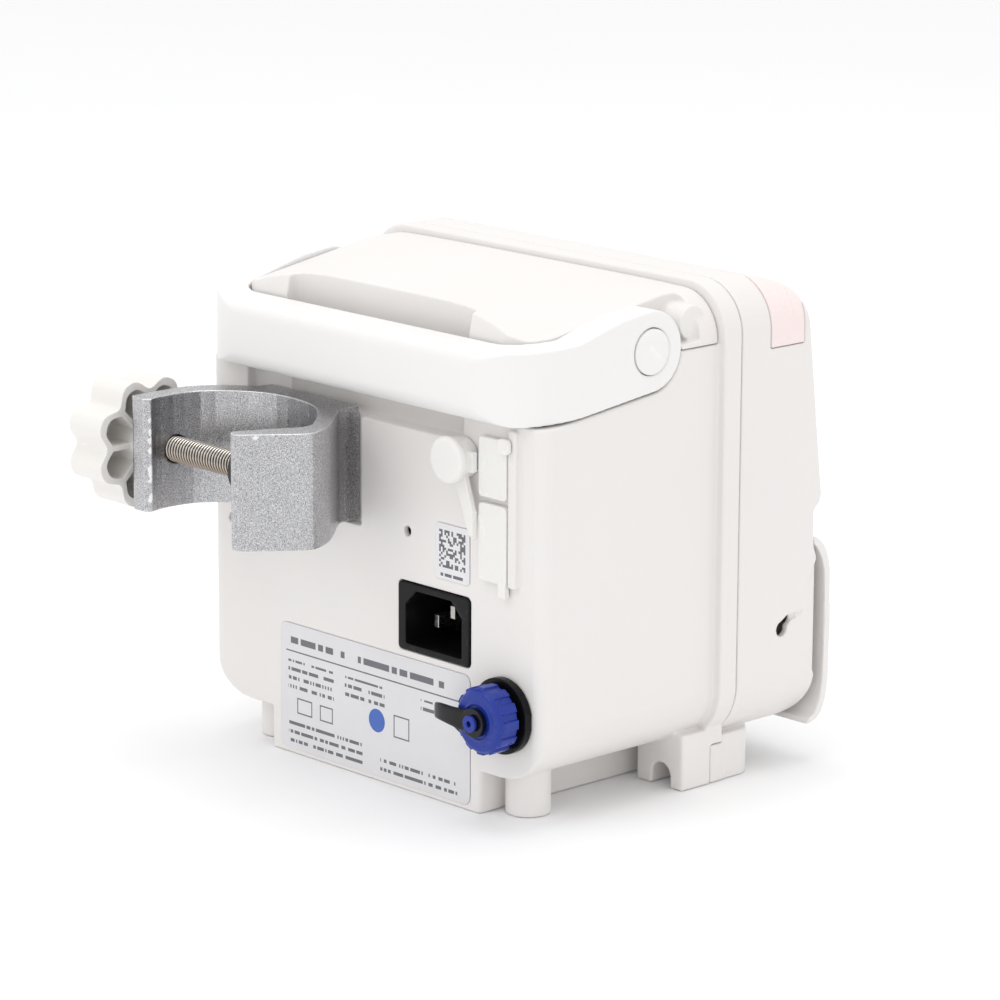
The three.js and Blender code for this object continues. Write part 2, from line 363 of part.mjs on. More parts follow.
// ---------------------------------------------------------------- pole clamp
{
  const pts = [
    [8.4, 54.9], [48.5, 54.9], [49.8, 60.2], [55, 64.3], [61.4, 71.8], [64, 80], [64, 96.2], [62.4, 97.4], [57.4, 97.4], [56, 95.4], [57.2, 91], [57, 82],
    [55.4, 77.2], [52.6, 73.4], [49.1, 70], [45.4, 66.9], [41.2, 64.6], [36.5, 63.2], [32, 62.8], [26, 63.2], [20.5, 64.2], [14.7, 66.6], [11.2, 69], [5.2, 74.2], [0.8, 79], [-1.7, 82], [-2.8, 85.6],
    [-2.2, 88.7], [0.3, 92.9], [3.1, 98.8], [5.9, 105], [5.2, 107], [3.2, 107.9], [0.9, 107.2], [-8.6, 95], [-10.7, 91.4], [-10.9, 88.2], [-8.4, 82.6], [-4.7, 77.4], [0.4, 71.6], [4.8, 66.9], [7.4, 63.8], [8.3, 61.4],
  ];
  let m = prismZ(pts, CLAMP_Z0, CLAMP_Z1);
  m = cut(m, cylX(4.25, 50, 70, SCREW_Y, SCREW_Z, 20), cylY(2.3, 50, 60.2, 28, 86, 12), cylY(2.3, 50, 60.2, 28, 104, 12));
  place('pole_clamp_body', m, ALU, 0.42, 0.9);
  place('clamp_fix_screw_lower', add(cylY(2, 47, 59.8, 28, 86, 12), cylY(4, 44.8, 47.1, 28, 86, 14)), NICKEL, 0.3, 1);
  place('clamp_fix_screw_upper', add(cylY(2, 47, 59.8, 28, 104, 12), cylY(4, 44.8, 47.1, 28, 104, 14)), NICKEL, 0.3, 1);
  place('clamp_screw', cylX(SCREW_R, 21.2, 78, SCREW_Y, SCREW_Z, 20), NICKEL, 0.28, 1);
  place('clamp_pad', cut(cylX(8, 18, 24, SCREW_Y, SCREW_Z, 24), cylX(4.25, 20.9, 30, SCREW_Y, SCREW_Z, 16)), 0x3a3a3c, 0.7);
  const star = [];
  const L = 8, R = 20.3, D = 3.6;
  for (let i = 0; i < L * 8; i++) {
    const a = i * 360 / (L * 8), r = R - D * (0.5 - 0.5 * Math.cos(L * a * Math.PI / 180 + Math.PI)) ** 1.5;
    star.push([SCREW_Y + r * Math.cos(a * Math.PI / 180), SCREW_Z + r * Math.sin(a * Math.PI / 180)]);
  }
  let k = add(prismX(star, 69.5, 84.5), cylX(7.8, 66.4, 70, SCREW_Y, SCREW_Z, 20));
  k = cut(k, cylX(4.25, 60, 78.3, SCREW_Y, SCREW_Z, 16));
  // deep pockets behind the lobes, on the clamp side, parted by eight ribs round a hub
  const inset = star.map(([y, z]) => {
    const d = Math.hypot(y - SCREW_Y, z - SCREW_Z), f = (d - 2.8) / d;
    return [SCREW_Y + (y - SCREW_Y) * f, SCREW_Z + (z - SCREW_Z) * f];
  });
  let pocket = cut(prismX(inset, 60, 81.2), cylX(7.8, 50, 90, SCREW_Y, SCREW_Z, 20));
  for (let i = 0; i < L / 2; i++) pocket = cut(pocket, box(50, 90, -30, 30, -0.9, 0.9).rotate([i * 360 / L, 0, 0]).translate([0, SCREW_Y, SCREW_Z]));
  k = cut(k, pocket);
  place('clamp_knob', k, WHITE, 0.5);
}

// ---------------------------------------------------------------- carrying handle
{
  const inner = ARM_X0, yi = GRIP_Y0;
  const plan = [
    [ARM_X1, 0], ...arc(ARM_X1 - 24, GRIP_Y1 - 24, 24, 0, 90, 7), ...arc(-ARM_X1 + 24, GRIP_Y1 - 24, 24, 90, 180, 7), [-ARM_X1, 0],
    [-inner, 0], ...arc(-inner + 14, yi - 14, 14, 180, 90, 6), ...arc(inner - 14, yi - 14, 14, 90, 0, 6), [inner, 0],
  ];
  let m = prismZ(plan, 90, 170).intersect(prismX(pivotToGrip(0), -90, 90));
  m = cut(m, cylX(3.4, -90, 90, PIVOT_Y, PIVOT_Z, 16), cylX(7, 73, 90, PIVOT_Y, PIVOT_Z, 20), cylX(7, -90, -73, PIVOT_Y, PIVOT_Z, 20));
  place('handle', m, WHITE, 0.45);
  const dome = (s) => {
    const g = lathe([[0, 73.3], [6.7, 73.3], [6.7, 75.4], [5.9, 76], [3.6, 76.5], [0, 76.7]], 20);
    g.applyMatrix4(basis([0, 0, -1], [1, 0, 0], [0, -1, 0])).translate(0, PIVOT_Y, PIVOT_Z);
    const m2 = solid(g);
    return s > 0 ? m2 : mirrorX(m2);
  };
  place('pivot_cap_left', dome(-1), WHITE, 0.4);
  place('pivot_cap_right', dome(1), WHITE, 0.4);
  const pin = (s) => {
    const m3 = add(cylX(3, 61, 72.9, PIVOT_Y, PIVOT_Z, 16), cylX(5, 58.6, 61.2, PIVOT_Y, PIVOT_Z, 16));
    return s > 0 ? m3 : mirrorX(m3);
  };
  place('pivot_pin_left', pin(-1), NICKEL, 0.3, 1);
  place('pivot_pin_right', pin(1), NICKEL, 0.3, 1);
}

// ---------------------------------------------------------------- battery, boards, speaker
place('battery_door', cut(box(BLOCK_X0 + WALL + GAP, BLOCK_X1 - WALL - GAP, BLOCK_Y0 + WALL + GAP, REAR_Y - WALL - GAP, 0, 2.4), cylZ(1.7, -1, 4, 0, 52, 12), cylZ(2.9, -1, 1.5, 0, 52, 12)), SHELL, 0.55);
place('battery_door_screw', add(cylZ(2.6, 0.2, 1.2, 0, 52, 12), cylZ(1.1, 1.1, 9.5, 0, 52, 10)), NICKEL, 0.3, 1);
place('battery_pack', prismX(rrect(-3, 45, 3.2, 24, 3, 2), -42, 40), 0x2f55a8, 0.5);
place('main_board', box(-58, 58, 28, 29.6, 70, 126), GREEN, 0.6);
place('power_supply_board', box(-44, -8, 31, 50, 66.5, 68.1), GREEN, 0.6);
place('speaker', add(cylX(12, 66, 70, 2, 92, 20), cylX(7, 61, 66.2, 2, 92, 16)), 0x222326, 0.5);

// ---------------------------------------------------------------- pumping mechanism
{
  const cheek = (x) => cut(box(x, x + 3, -44, -14, 33, 57), cylX(4.4, x - 1, x + 4, CAM_Y, CAM_Z, 16));
  let m = add(cut(box(-63, 63, -44, -41.5, 26, 62), box(-14.2, 14.2, -50, -40, 38.2, 51.8)), cheek(-22), cheek(19));
  m = add(m, box(-22, 22, -17, -14, 33, 36), box(-22, 22, -17, -14, 54, 57));
  place('pump_chassis', m, 0x9fa3a8, 0.45, 0.7);
  place('air_sensor', box(40, 50, -47.2, -44.3, 40, 50), 0x2a2c30, 0.5);
  const parts = [cylX(4.1, -22.6, 33.4, CAM_Y, CAM_Z, 16), cylX(9.5, 27, 33, CAM_Y, CAM_Z, 24)];
  for (let i = 0; i < 4; i++) {
    const a = i * Math.PI / 2;
    parts.push(cylX(6.6, -13 + 6.7 * i, -13 + 6.7 * i + 6, CAM_Y + Math.cos(a), CAM_Z + Math.sin(a), 20));
  }
  place('camshaft', add(...parts), 0xbfc1c4, 0.3, 1);
  for (let i = 0; i < 4; i++) {
    const x = -13 + 6.7 * i;
    place(`finger_${i + 1}`, prismX([[-47, 41], [-46, 39.4], [-34.2, 39.4], [-34.2, 50.6], [-46, 50.6], [-47, 49]], x, x + 6), 0xe6e3da, 0.5);
  }
  place('stepper_motor', box(-10, 22, 0, 28 - GAP, 30, 58), 0x3b3d42, 0.4, 0.6);
  place('motor_pulley', add(cylX(6, 27, 33, MOTOR_Y, MOTOR_Z, 18), cylX(2.4, 22.4, 27.2, MOTOR_Y, MOTOR_Z, 10)), 0xbfc1c4, 0.3, 1);
  const loop = (g) => {
    // belt outline round both pulleys, grown by g
    const ra = 9.5 + g, rb = 6 + g, d = Math.hypot(MOTOR_Y - CAM_Y, MOTOR_Z - CAM_Z), tilt = Math.atan2(MOTOR_Z - CAM_Z, MOTOR_Y - CAM_Y) * 180 / Math.PI;
    const b = Math.acos((ra - rb) / d) * 180 / Math.PI;
    return [...arc(CAM_Y, CAM_Z, ra, tilt + b, tilt + 360 - b, 14), ...arc(MOTOR_Y, MOTOR_Z, rb, tilt - b, tilt + b, 8)];
  };
  place('drive_belt', cut(prismX(loop(1.5), 27.4, 32.6), prismX(loop(0.3), 20, 40)), 0x1b1b1d, 0.8);
}

export default part;
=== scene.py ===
import math
import bpy
import bmesh
import numpy as np
from mathutils import Matrix, Vector, noise


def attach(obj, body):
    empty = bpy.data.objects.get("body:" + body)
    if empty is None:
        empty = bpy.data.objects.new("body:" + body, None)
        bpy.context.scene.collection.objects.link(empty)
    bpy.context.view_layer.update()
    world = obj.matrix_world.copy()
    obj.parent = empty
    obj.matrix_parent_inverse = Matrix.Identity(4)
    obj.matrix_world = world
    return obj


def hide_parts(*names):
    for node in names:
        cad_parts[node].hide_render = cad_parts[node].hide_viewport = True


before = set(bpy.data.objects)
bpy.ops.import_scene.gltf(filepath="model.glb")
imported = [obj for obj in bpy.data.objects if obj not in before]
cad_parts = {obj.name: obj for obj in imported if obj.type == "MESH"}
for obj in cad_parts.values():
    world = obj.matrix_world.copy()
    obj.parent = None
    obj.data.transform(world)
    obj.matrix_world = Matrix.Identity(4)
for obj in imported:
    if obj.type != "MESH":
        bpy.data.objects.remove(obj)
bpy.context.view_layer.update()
S = 0.001                                   # the numbers below are millimetres

# ------------------------------------------------------------------ camera
scene = bpy.context.scene
cam_data = bpy.data.cameras.new("camera")
cam = bpy.data.objects.new("camera", cam_data)
scene.collection.objects.link(cam)
scene.camera = cam
cam_data.sensor_width = 36.0
cam_data.lens = 157.256
cam_data.clip_end = 20.0
BETA, PITCH, ROLL = math.radians(46.8745), math.radians(13.5192), math.radians(0.25081)
back = Vector((-math.sin(BETA) * math.cos(PITCH), math.cos(BETA) * math.cos(PITCH), math.sin(PITCH)))
fwd = -back
right = fwd.cross(Vector((0, 0, 1))).normalized()
up = right.cross(fwd)
R = math.cos(ROLL) * right + math.sin(ROLL) * up
U = -math.sin(ROLL) * right + math.cos(ROLL) * up
rot = Matrix((R, U, -fwd)).transposed().to_4x4()
cam.matrix_world = Matrix.Translation(Vector((-0.93954, 0.88587, 0.38672))) @ rot


# ------------------------------------------------------------------ small solid modelling kit
def arc(cx, cy, r, a0, a1, n):
    return [(cx + r * math.cos(math.radians(a0 + (a1 - a0) * i / n)), cy + r * math.sin(math.radians(a0 + (a1 - a0) * i / n))) for i in range(n + 1)]


def ring(cx, cy, r, n):
    return arc(cx, cy, r, 0, 360 * (n - 1) / n, n - 1)


def rrect(x0, x1, y0, y1, r, n=8):
    a, b, c, d = r if isinstance(r, (list, tuple)) else (r, r, r, r)

    def corner(cx, cy, rr, s):
        return arc(cx, cy, rr, s, s + 90, n) if rr > 0 else [(cx, cy)]
    return corner(x0 + a, y0 + a, a, 180) + corner(x1 - b, y0 + b, b, 270) + corner(x1 - c, y1 - c, c, 0) + corner(x0 + d, y1 - d, d, 90)


def mesh_of(verts, faces, name="m"):
    me = bpy.data.meshes.new(name)
    me.from_pydata([tuple(c * S for c in v) for v in verts], [], faces)
    bm = bmesh.new()
    bm.from_mesh(me)
    bmesh.ops.remove_doubles(bm, verts=bm.verts, dist=1e-7)
    bmesh.ops.recalc_face_normals(bm, faces=bm.faces)
    bmesh.ops.triangulate(bm, faces=[f for f in bm.faces if len(f.verts) > 4])
    bm.to_mesh(me)
    bm.free()
    return me


def prism(pts, axis, a0, a1):
    n = len(pts)
    put = {"X": lambda p, a: (a, p[0], p[1]), "Y": lambda p, a: (p[0], a, p[1]), "Z": lambda p, a: (p[0], p[1], a)}[axis]
    v = [put(p, a0) for p in pts] + [put(p, a1) for p in pts]
    f = [tuple(range(n)), tuple(range(n, 2 * n))] + [(i, (i + 1) % n, n + (i + 1) % n, n + i) for i in range(n)]
    return mesh_of(v, f)


def pX(pts, a, b): return prism(pts, "X", a, b)
def pY(pts, a, b): return prism(pts, "Y", a, b)
def pZ(pts, a, b): return prism(pts, "Z", a, b)
def cX(r, a, b, y, z, n=48): return pX(ring(y, z, r, n), a, b)
def cY(r, a, b, x, z, n=48): return pY(ring(x, z, r, n), a, b)
def cZ(r, a, b, x, y, n=48): return pZ(ring(x, y, r, n), a, b)


def box(x0, x1, y0, y1, z0, z1):
    return pZ([(x0, y0), (x1, y0), (x1, y1), (x0, y1)], z0, z1)


def loft(rings):
    n = len(rings[0])
    v = [p for r in rings for p in r]
    f = [(k * n + i, k * n + (i + 1) % n, (k + 1) * n + (i + 1) % n, (k + 1) * n + i) for k in range(len(rings) - 1) for i in range(n)]
    f += [tuple(range(n)), tuple(range((len(rings) - 1) * n, len(rings) * n))]
    return mesh_of(v, f)


def lathe(profile, axis, c, n=64):
    """profile: (radius, height along the axis), closed; c: the two other coordinates of the axis"""
    v, f, m = [], [], len(profile)
    for i in range(n):
        a = 2 * math.pi * i / n
        for r, h in profile:
            p, q = r * math.cos(a), r * math.sin(a)
            v.append({"X": (h, c[0] + p, c[1] + q), "Y": (c[0] + p, h, c[1] + q), "Z": (c[0] + p, c[1] + q, h)}[axis])
    for i in range(n):
        for j in range(m):
            k = (j + 1) % m
            f.append((i * m + j, i * m + k, ((i + 1) % n) * m + k, ((i + 1) % n) * m + j))
    return mesh_of(v, f)


_a = bpy.data.objects.new("csg_a", bpy.data.meshes.new("csg"))
_b = bpy.data.objects.new("csg_b", bpy.data.meshes.new("csg"))
_pad = bpy.data.collections.new("scratch")
scene.collection.children.link(_pad)
_pad.objects.link(_a)
_pad.objects.link(_b)


def applied(o, name="m"):
    dg = bpy.context.evaluated_depsgraph_get()
    dg.update()
    return bpy.data.meshes.new_from_object(o.evaluated_get(dg), preserve_all_data_layers=False, depsgraph=dg)


def boolean(x, y, op):
    _a.data, _b.data = x, y
    _a.modifiers.clear()
    m = _a.modifiers.new("b", "BOOLEAN")
    m.object, m.operation, m.solver = _b, op, "MANIFOLD"
    out = applied(_a)
    _a.modifiers.clear()
    if not len(out.polygons):
        raise RuntimeError("a boolean came out empty")
    return out


def add(x, *ys):
    for y in ys:
        x = boolean(x, y, "UNION")
    return x


def cut(x, *ys):
    for y in ys:
        x = boolean(x, y, "DIFFERENCE")
    return x


def common(x, y): return boolean(x, y, "INTERSECT")


def mirror(me):
    out = me.copy()
    out.transform(Matrix.Scale(-1, 4, (1, 0, 0)))
    out.flip_normals()
    return out


def soft(me, voxel=0.45, smooth=6, keep=0.3, factor=0.5):
    """rounds every edge: fine voxels, relaxed, then thinned out"""
    v = max(voxel * (1.0), 0.1) * S
    _a.data = me
    _a.modifiers.clear()
    m = _a.modifiers.new("r", "REMESH")
    m.mode, m.voxel_size, m.adaptivity = "VOXEL", v, 0.0
    s = _a.modifiers.new("s", "SMOOTH")
    s.factor, s.iterations = factor, max(1, smooth // (1))
    if keep < 1:
        d = _a.modifiers.new("d", "DECIMATE")
        d.ratio = keep
    out = applied(_a)
    _a.modifiers.clear()
    out.polygons.foreach_set("use_smooth", [True] * len(out.polygons))
    return out


def sharp(me, angle=32, bevel=0.0, segments=2):
    """keeps the modelled edges; an optional small bevel on the sharp ones"""
    if bevel:
        _a.data = me
        _a.modifiers.clear()
        b = _a.modifiers.new("b", "BEVEL")
        b.width, b.segments, b.limit_method, b.angle_limit = bevel * S, segments, "ANGLE", math.radians(angle)
        b.harden_normals = False
        me = applied(_a)
        _a.modifiers.clear()
    me.polygons.foreach_set("use_smooth", [True] * len(me.polygons))
    me.set_sharp_from_angle(angle=math.radians(angle))
    return me


def tube(path, r, n=20, flat=None, close=False):
    """round or flattened tube along points, with parallel frames; flat=(half width, half thickness, up vector)"""
    P = [Vector(p) for p in path]
    rings = []
    prev = None
    for i, p in enumerate(P):
        t = (P[min(i + 1, len(P) - 1)] - P[max(i - 1, 0)]).normalized()
        if flat:
            w = Vector(flat[2])
            w = (w - t * w.dot(t)).normalized()
        else:
            w = prev if prev is not None else (Vector((0, 0, 1)) if abs(t.z) < 0.9 else Vector((1, 0, 0)))
            w = (w - t * w.dot(t)).normalized()
        prev = w
        b = t.cross(w)
        hw, ht = (flat[0], flat[1]) if flat else (r, r)
        pts = []
        for k in range(n):
            a = 2 * math.pi * k / n
            c, s = math.cos(a), math.sin(a)
            if flat:
                c = math.copysign(abs(c) ** 0.45, c)
                s = math.copysign(abs(s) ** 0.45, s)
            q = p + w * (hw * c) + b * (ht * s)
            pts.append(tuple(q))
        rings.append(pts)
    return loft(rings)


def smooth_path(pts, n=8):
    P = [Vector(p) for p in pts]
    out = []
    for i in range(len(P) - 1):
        p0, p1, p2, p3 = P[max(i - 1, 0)], P[i], P[i + 1], P[min(i + 2, len(P) - 1)]
        for k in range(n):
            t = k / n
            out.append(0.5 * ((2 * p1) + (p2 - p0) * t + (2 * p0 - 5 * p1 + 4 * p2 - p3) * t * t + (3 * p1 - p0 - 3 * p2 + p3) * t ** 3))
    out.append(P[-1])
    return [tuple(p) for p in out]


def piece(name, me, mat, body, slot, *nodes):
    me.materials.clear()
    me.materials.append(mat)
    me.name = name
    o = bpy.data.objects.new(name, me)
    scene.collection.objects.link(o)
    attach(o, body)
    if nodes:
        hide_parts(*nodes)
    return o


# ------------------------------------------------------------------ materials
class Mat:
    def __init__(self, name):
        self.m = bpy.data.materials.new(name)
        self.m.use_nodes = True
        self.t = self.m.node_tree
        self.n, self.l = self.t.nodes, self.t.links
        self.b = self.n["Principled BSDF"]
        self.co = self.n.new("ShaderNodeTexCoord").outputs["Object"]

    def set(self, **k):
        for key, v in k.items():
            self.b.inputs[key.replace("_", " ")].default_value = v
        return self

    def noise(self, scale, detail=3.0, rough=0.55, stretch=None):
        t = self.n.new("ShaderNodeTexNoise")
        t.inputs["Scale"].default_value = scale
        t.inputs["Detail"].default_value = detail
        t.inputs["Roughness"].default_value = rough
        src = self.co
        if stretch:
            mp = self.n.new("ShaderNodeMapping")
            mp.inputs["Scale"].default_value = stretch
            self.l.new(src, mp.inputs["Vector"])
            src = mp.outputs["Vector"]
        self.l.new(src, t.inputs["Vector"])
        return t.outputs["Fac"]

    def ramp(self, fac, a, b, lo=0.3, hi=0.7):
        r = self.n.new("ShaderNodeMapRange")
        r.inputs["From Min"].default_value, r.inputs["From Max"].default_value = lo, hi
        r.inputs["To Min"].default_value, r.inputs["To Max"].default_value = a, b
        self.l.new(fac, r.inputs["Value"])
        return r.outputs["Result"]

    def mix(self, fac, a, b, kind="MIX"):
        m = self.n.new("ShaderNodeMix")
        m.data_type, m.blend_type = "RGBA", kind
        for sock, v in ((m.inputs["Factor"], fac), (m.inputs["A"], a), (m.inputs["B"], b)):
            if hasattr(v, "node"):
                self.l.new(v, sock)
            else:
                sock.default_value = v
        return m.outputs["Result"]

    def math(self, op, a, b=0.0):
        m = self.n.new("ShaderNodeMath")
        m.operation = op
        for sock, v in zip(m.inputs, (a, b)):
            if hasattr(v, "node"):
                self.l.new(v, sock)
            else:
                sock.default_value = v
        return m.outputs["Value"]

    def link(self, out, name):
        self.l.new(out, self.b.inputs[name])
        return self

    def bump(self, height, strength, distance=0.0001, normal=None):
        b = self.n.new("ShaderNodeBump")
        b.inputs["Strength"].default_value = strength
        b.inputs["Distance"].default_value = distance
        self.l.new(height, b.inputs["Height"])
        if normal is not None:
            self.l.new(normal, b.inputs["Normal"])
        return b.outputs["Normal"]

    def edges(self, lo=0.50, hi=0.56):
        g = self.n.new("ShaderNodeNewGeometry")
        return self.ramp(g.outputs["Pointiness"], 0.0, 1.0, lo, hi)


def moulded(name, rgb, rough=0.42, grain=2600.0, strength=0.12, tint=0.03, sss=0.0, spec=0.5):
    """injection moulded plastic: spark-eroded grain, faint flow marks, and a painted highlight that lightens the edges
    """
    m = Mat(name)
    a = (*rgb, 1.0)
    dark = (*[c * (1 - tint) for c in rgb], 1.0)
    warm = (min(1, rgb[0] * 1.01), rgb[1] * 0.995, rgb[2] * 0.975, 1.0)
    col = m.mix(m.ramp(m.noise(14.0, 4.0), 0.0, 1.0), a, dark)
    col = m.mix(m.ramp(m.noise(55.0, 3.0), 0.0, 0.35), col, warm)
    # painted highlight: convex edges (high pointiness) are mixed towards a lighter colour
    light = (*[min(1.0, c * 1.06 + 0.01) for c in rgb], 1.0)
    col = m.mix(m.math("MULTIPLY", m.edges(0.52, 0.60), 0.6), col, light)
    m.link(col, "Base Color")
    g = m.noise(grain, 2.0, 0.6)
    m.link(m.ramp(m.noise(120.0, 4.0), rough - 0.05, rough + 0.07), "Roughness")
    n1 = m.bump(g, strength, 0.00006)
    m.link(m.bump(m.noise(30.0, 2.0), 0.05, 0.0004, n1), "Normal")
    m.set(Specular_IOR_Level=spec)
    if sss:
        m.set(Subsurface_Weight=sss, Subsurface_Scale=0.002)
    return m.m


def metal(name, rgb, rough=0.3, grain=2000.0, strength=0.1, stretch=None, spread=0.08, dark=0.85):
    m = Mat(name)
    m.set(Metallic=1.0)
    a = (*rgb, 1.0)
    d = (*[c * dark for c in rgb], 1.0)
    m.link(m.mix(m.ramp(m.noise(90.0, 5.0, 0.6, stretch), 0.0, 1.0), a, d), "Base Color")
    m.link(m.ramp(m.noise(grain / 3, 3.0, 0.6, stretch), rough - spread, rough + spread), "Roughness")
    m.link(m.bump(m.noise(grain, 2.0, 0.6, stretch), strength, 0.00005), "Normal")
    return m.m


M = {}
M["casing"] = moulded("casing_moulded", (0.815, 0.793, 0.778), 0.44, 2300.0, 0.13)
M["handle"] = moulded("handle_moulded", (0.86, 0.853, 0.845), 0.34, 3000.0, 0.04)
M["silicone"] = moulded("silicone_white", (0.84, 0.83, 0.81), 0.55, 1800.0, 0.06, 0.04, 0.08)
M["knob"] = moulded("knob_moulded", (0.84, 0.82, 0.79), 0.40, 2600.0, 0.06)
M["black"] = moulded("black_moulded", (0.004, 0.004, 0.005), 0.28, 2400.0, 0.06, 0.2, spec=0.16)
M["inlet"] = moulded("inlet_black", (0.006, 0.006, 0.007), 0.36, 1600.0, 0.14, 0.2, spec=0.18)
M["cap"] = moulded("cap_blue", (0.011, 0.034, 0.30), 0.28, 2400.0, 0.05, 0.10, spec=0.35)
M["strap"] = moulded("strap_rubber", (0.005, 0.005, 0.006), 0.12, 700.0, 0.05, 0.1, spec=0.3)
M["lens"] = moulded("lens_dark", (0.006, 0.0065, 0.008), 0.09, 900.0, 0.01, 0.1, spec=0.3)
M["green"] = moulded("key_green", (0.16, 0.48, 0.24), 0.5, 1800.0, 0.08)
M["red"] = moulded("key_red", (0.55, 0.10, 0.07), 0.5, 1800.0, 0.08)
M["grey"] = moulded("key_grey", (0.58, 0.58, 0.57), 0.5, 1800.0, 0.08)
M["dark"] = moulded("dark_grey", (0.05, 0.052, 0.056), 0.5, 1800.0, 0.12, 0.1)
M["acetal"] = moulded("acetal", (0.74, 0.71, 0.63), 0.4, 1500.0, 0.05)
M["pack"] = moulded("pack_film", (0.05, 0.14, 0.42), 0.25, 300.0, 0.2, 0.1)
M["board"] = moulded("solder_mask", (0.015, 0.13, 0.05), 0.35, 500.0, 0.2, 0.35)
M["pad"] = moulded("pad_rubber", (0.03, 0.03, 0.032), 0.6, 1500.0, 0.25, 0.1)
alu = Mat("blasted_aluminium")
alu.set(Metallic=1.0)
fleck = alu.ramp(alu.noise(3400.0, 2.0, 0.6), 0.0, 1.0, 0.33, 0.70)
tone = alu.mix(fleck, (0.22, 0.22, 0.235, 1), (0.80, 0.80, 0.815, 1))
# painted highlight: the edges (high pointiness) are mixed towards near white
alu.link(alu.mix(alu.math("MULTIPLY", alu.edges(0.515, 0.57), 0.75), tone, (0.95, 0.95, 0.95, 1)), "Base Color")
alu.link(alu.ramp(alu.noise(1300.0, 2.0), 0.26, 0.42), "Roughness")
alu.link(alu.bump(alu.noise(3400.0, 2.0, 0.6), 0.35, 0.00006), "Normal")
M["alu"] = alu.m
M["nickel"] = metal("nickel_plate", (0.66, 0.62, 0.56), 0.13, 900.0, 0.015, None, 0.03)

thr = Mat("nickel_thread")
thr.set(Metallic=1.0)
sep = thr.n.new("ShaderNodeSeparateXYZ")
thr.l.new(thr.co, sep.inputs["Vector"])
dy = thr.math("SUBTRACT", sep.outputs["Y"], 0.085)
dz = thr.math("SUBTRACT", sep.outputs["Z"], 0.0955)
rad = thr.math("SQRT", thr.math("ADD", thr.math("MULTIPLY", dy, dy), thr.math("MULTIPLY", dz, dz)))
# painted shade: the thread roots (small radius about the screw axis) are darkened
thread_root_shade = thr.ramp(rad, 0.0, 1.0, 0.00355, 0.00388)
# painted highlight and shade by height: lighter towards the top, darker and warmer towards the bottom; a noise mottle
# is mixed in next
low = thr.ramp(dz, 0.0, 1.0, -0.0042, 0.0024)
height_sheen_and_mottle = thr.mix(low, (0.30, 0.215, 0.15, 1), (0.80, 0.76, 0.70, 1))
height_sheen_and_mottle = thr.mix(thr.ramp(thr.noise(300.0, 3.0), 0.0, 0.25), height_sheen_and_mottle, (0.55, 0.50, 0.44, 1))
thr.link(thr.mix(thread_root_shade, (0.035, 0.028, 0.022, 1), height_sheen_and_mottle), "Base Color")
thr.link(thr.ramp(thr.noise(400.0, 3.0), 0.12, 0.22), "Roughness")
thr.link(thr.bump(thr.noise(900.0, 2.0), 0.03, 0.00003), "Normal")
M["thread"] = thr.m
M["pin"] = metal("pin_plate", (0.60, 0.58, 0.54), 0.3, 1500.0, 0.05)
M["zinc"] = metal("zinc_plate", (0.42, 0.41, 0.40), 0.34, 1500.0, 0.12)
M["steel"] = metal("ground_steel", (0.60, 0.60, 0.61), 0.28, 1500.0, 0.1, (1, 1, 20))
M["cast"] = metal("die_cast", (0.45, 0.46, 0.48), 0.5, 1200.0, 0.4)

light = Mat("light_pink")
light.set(IOR=1.49, Subsurface_Weight=0.15, Subsurface_Scale=0.002)
light.link(light.mix(light.ramp(light.noise(30.0, 3.0), 0.0, 1.0), (0.90, 0.785, 0.77, 1), (0.89, 0.765, 0.75, 1)), "Base Color")
light.link(light.ramp(light.noise(120.0, 3.0), 0.26, 0.32), "Roughness")
light.link(light.bump(light.noise(40.0, 2.0), 0.05, 0.0002), "Normal")
M["light"] = light.m

# ------------------------------------------------------------------ shared dimensions, as in the CAD
HW, LW, REAR, SEAM, LIP = 74.7, 77.6, 58.0, -18.0, -11.0
Z0, TOP, LTOP, COVER = 13.0, 150.0, 151.8, 134.5
RB, RT, WALL = 18.0, 14.0, 2.4
PY, PZ, ARM = 17.0, 136.0, 12.0
GY1, GZ0, GZ1 = 66.6, 118.5, 140.2


def outline(w, z0, z1, rt, rb, n=14):
    return rrect(-w, w, z0, z1, (rb, rb, rt, rt), n)


def arm_side(g):
    r = ARM + g
    return (arc(PY, PZ, r, 92, 262, 40) + [(GY1 - 5, GZ0 - g)] + arc(GY1 - 5 + g, GZ0 + 5, 5 + g, 280, 360, 10)
            + arc(GY1 - 5 + g, GZ1 - 5, 5 + g, 0, 80, 10) + [(GY1 - 6, GZ1 + g), (53, 141.2 + g), (46, GZ1 + 1.6 + g), (36, GZ1 + 4.4 + g), (28, 146.6 + g)])


def recess_of(g, core, zlow):
    side = arc(PY, PZ, ARM + 0.9 + g, 180, 262, 30) + [(REAR + 12, zlow - g), (REAR + 12, 170), (-3.5 - g, 170), (-3.5 - g, 136.6 - g)]
    return cut(pX(side, -90, 90), pZ(rrect(-core, core, -60, core - 7.8, (0, 0, core - 51, core - 51), 14), 0, 200))


recess = recess_of(0, 64.2, GZ0 - 1.6)
recess_fat = recess_of(WALL, 61.8, GZ0 - 1.6)
well = pZ(rrect(-40, 40, 51.5, 95, (3, 3, 0, 0), 6), 110, 170)
well_fat = box(-42.4, 42.4, 49.1, 80, 107.6, 170)
pin_holes = add(cX(3.3, 58, 80, PY, PZ), cX(3.3, -80, -58, PY, PZ))

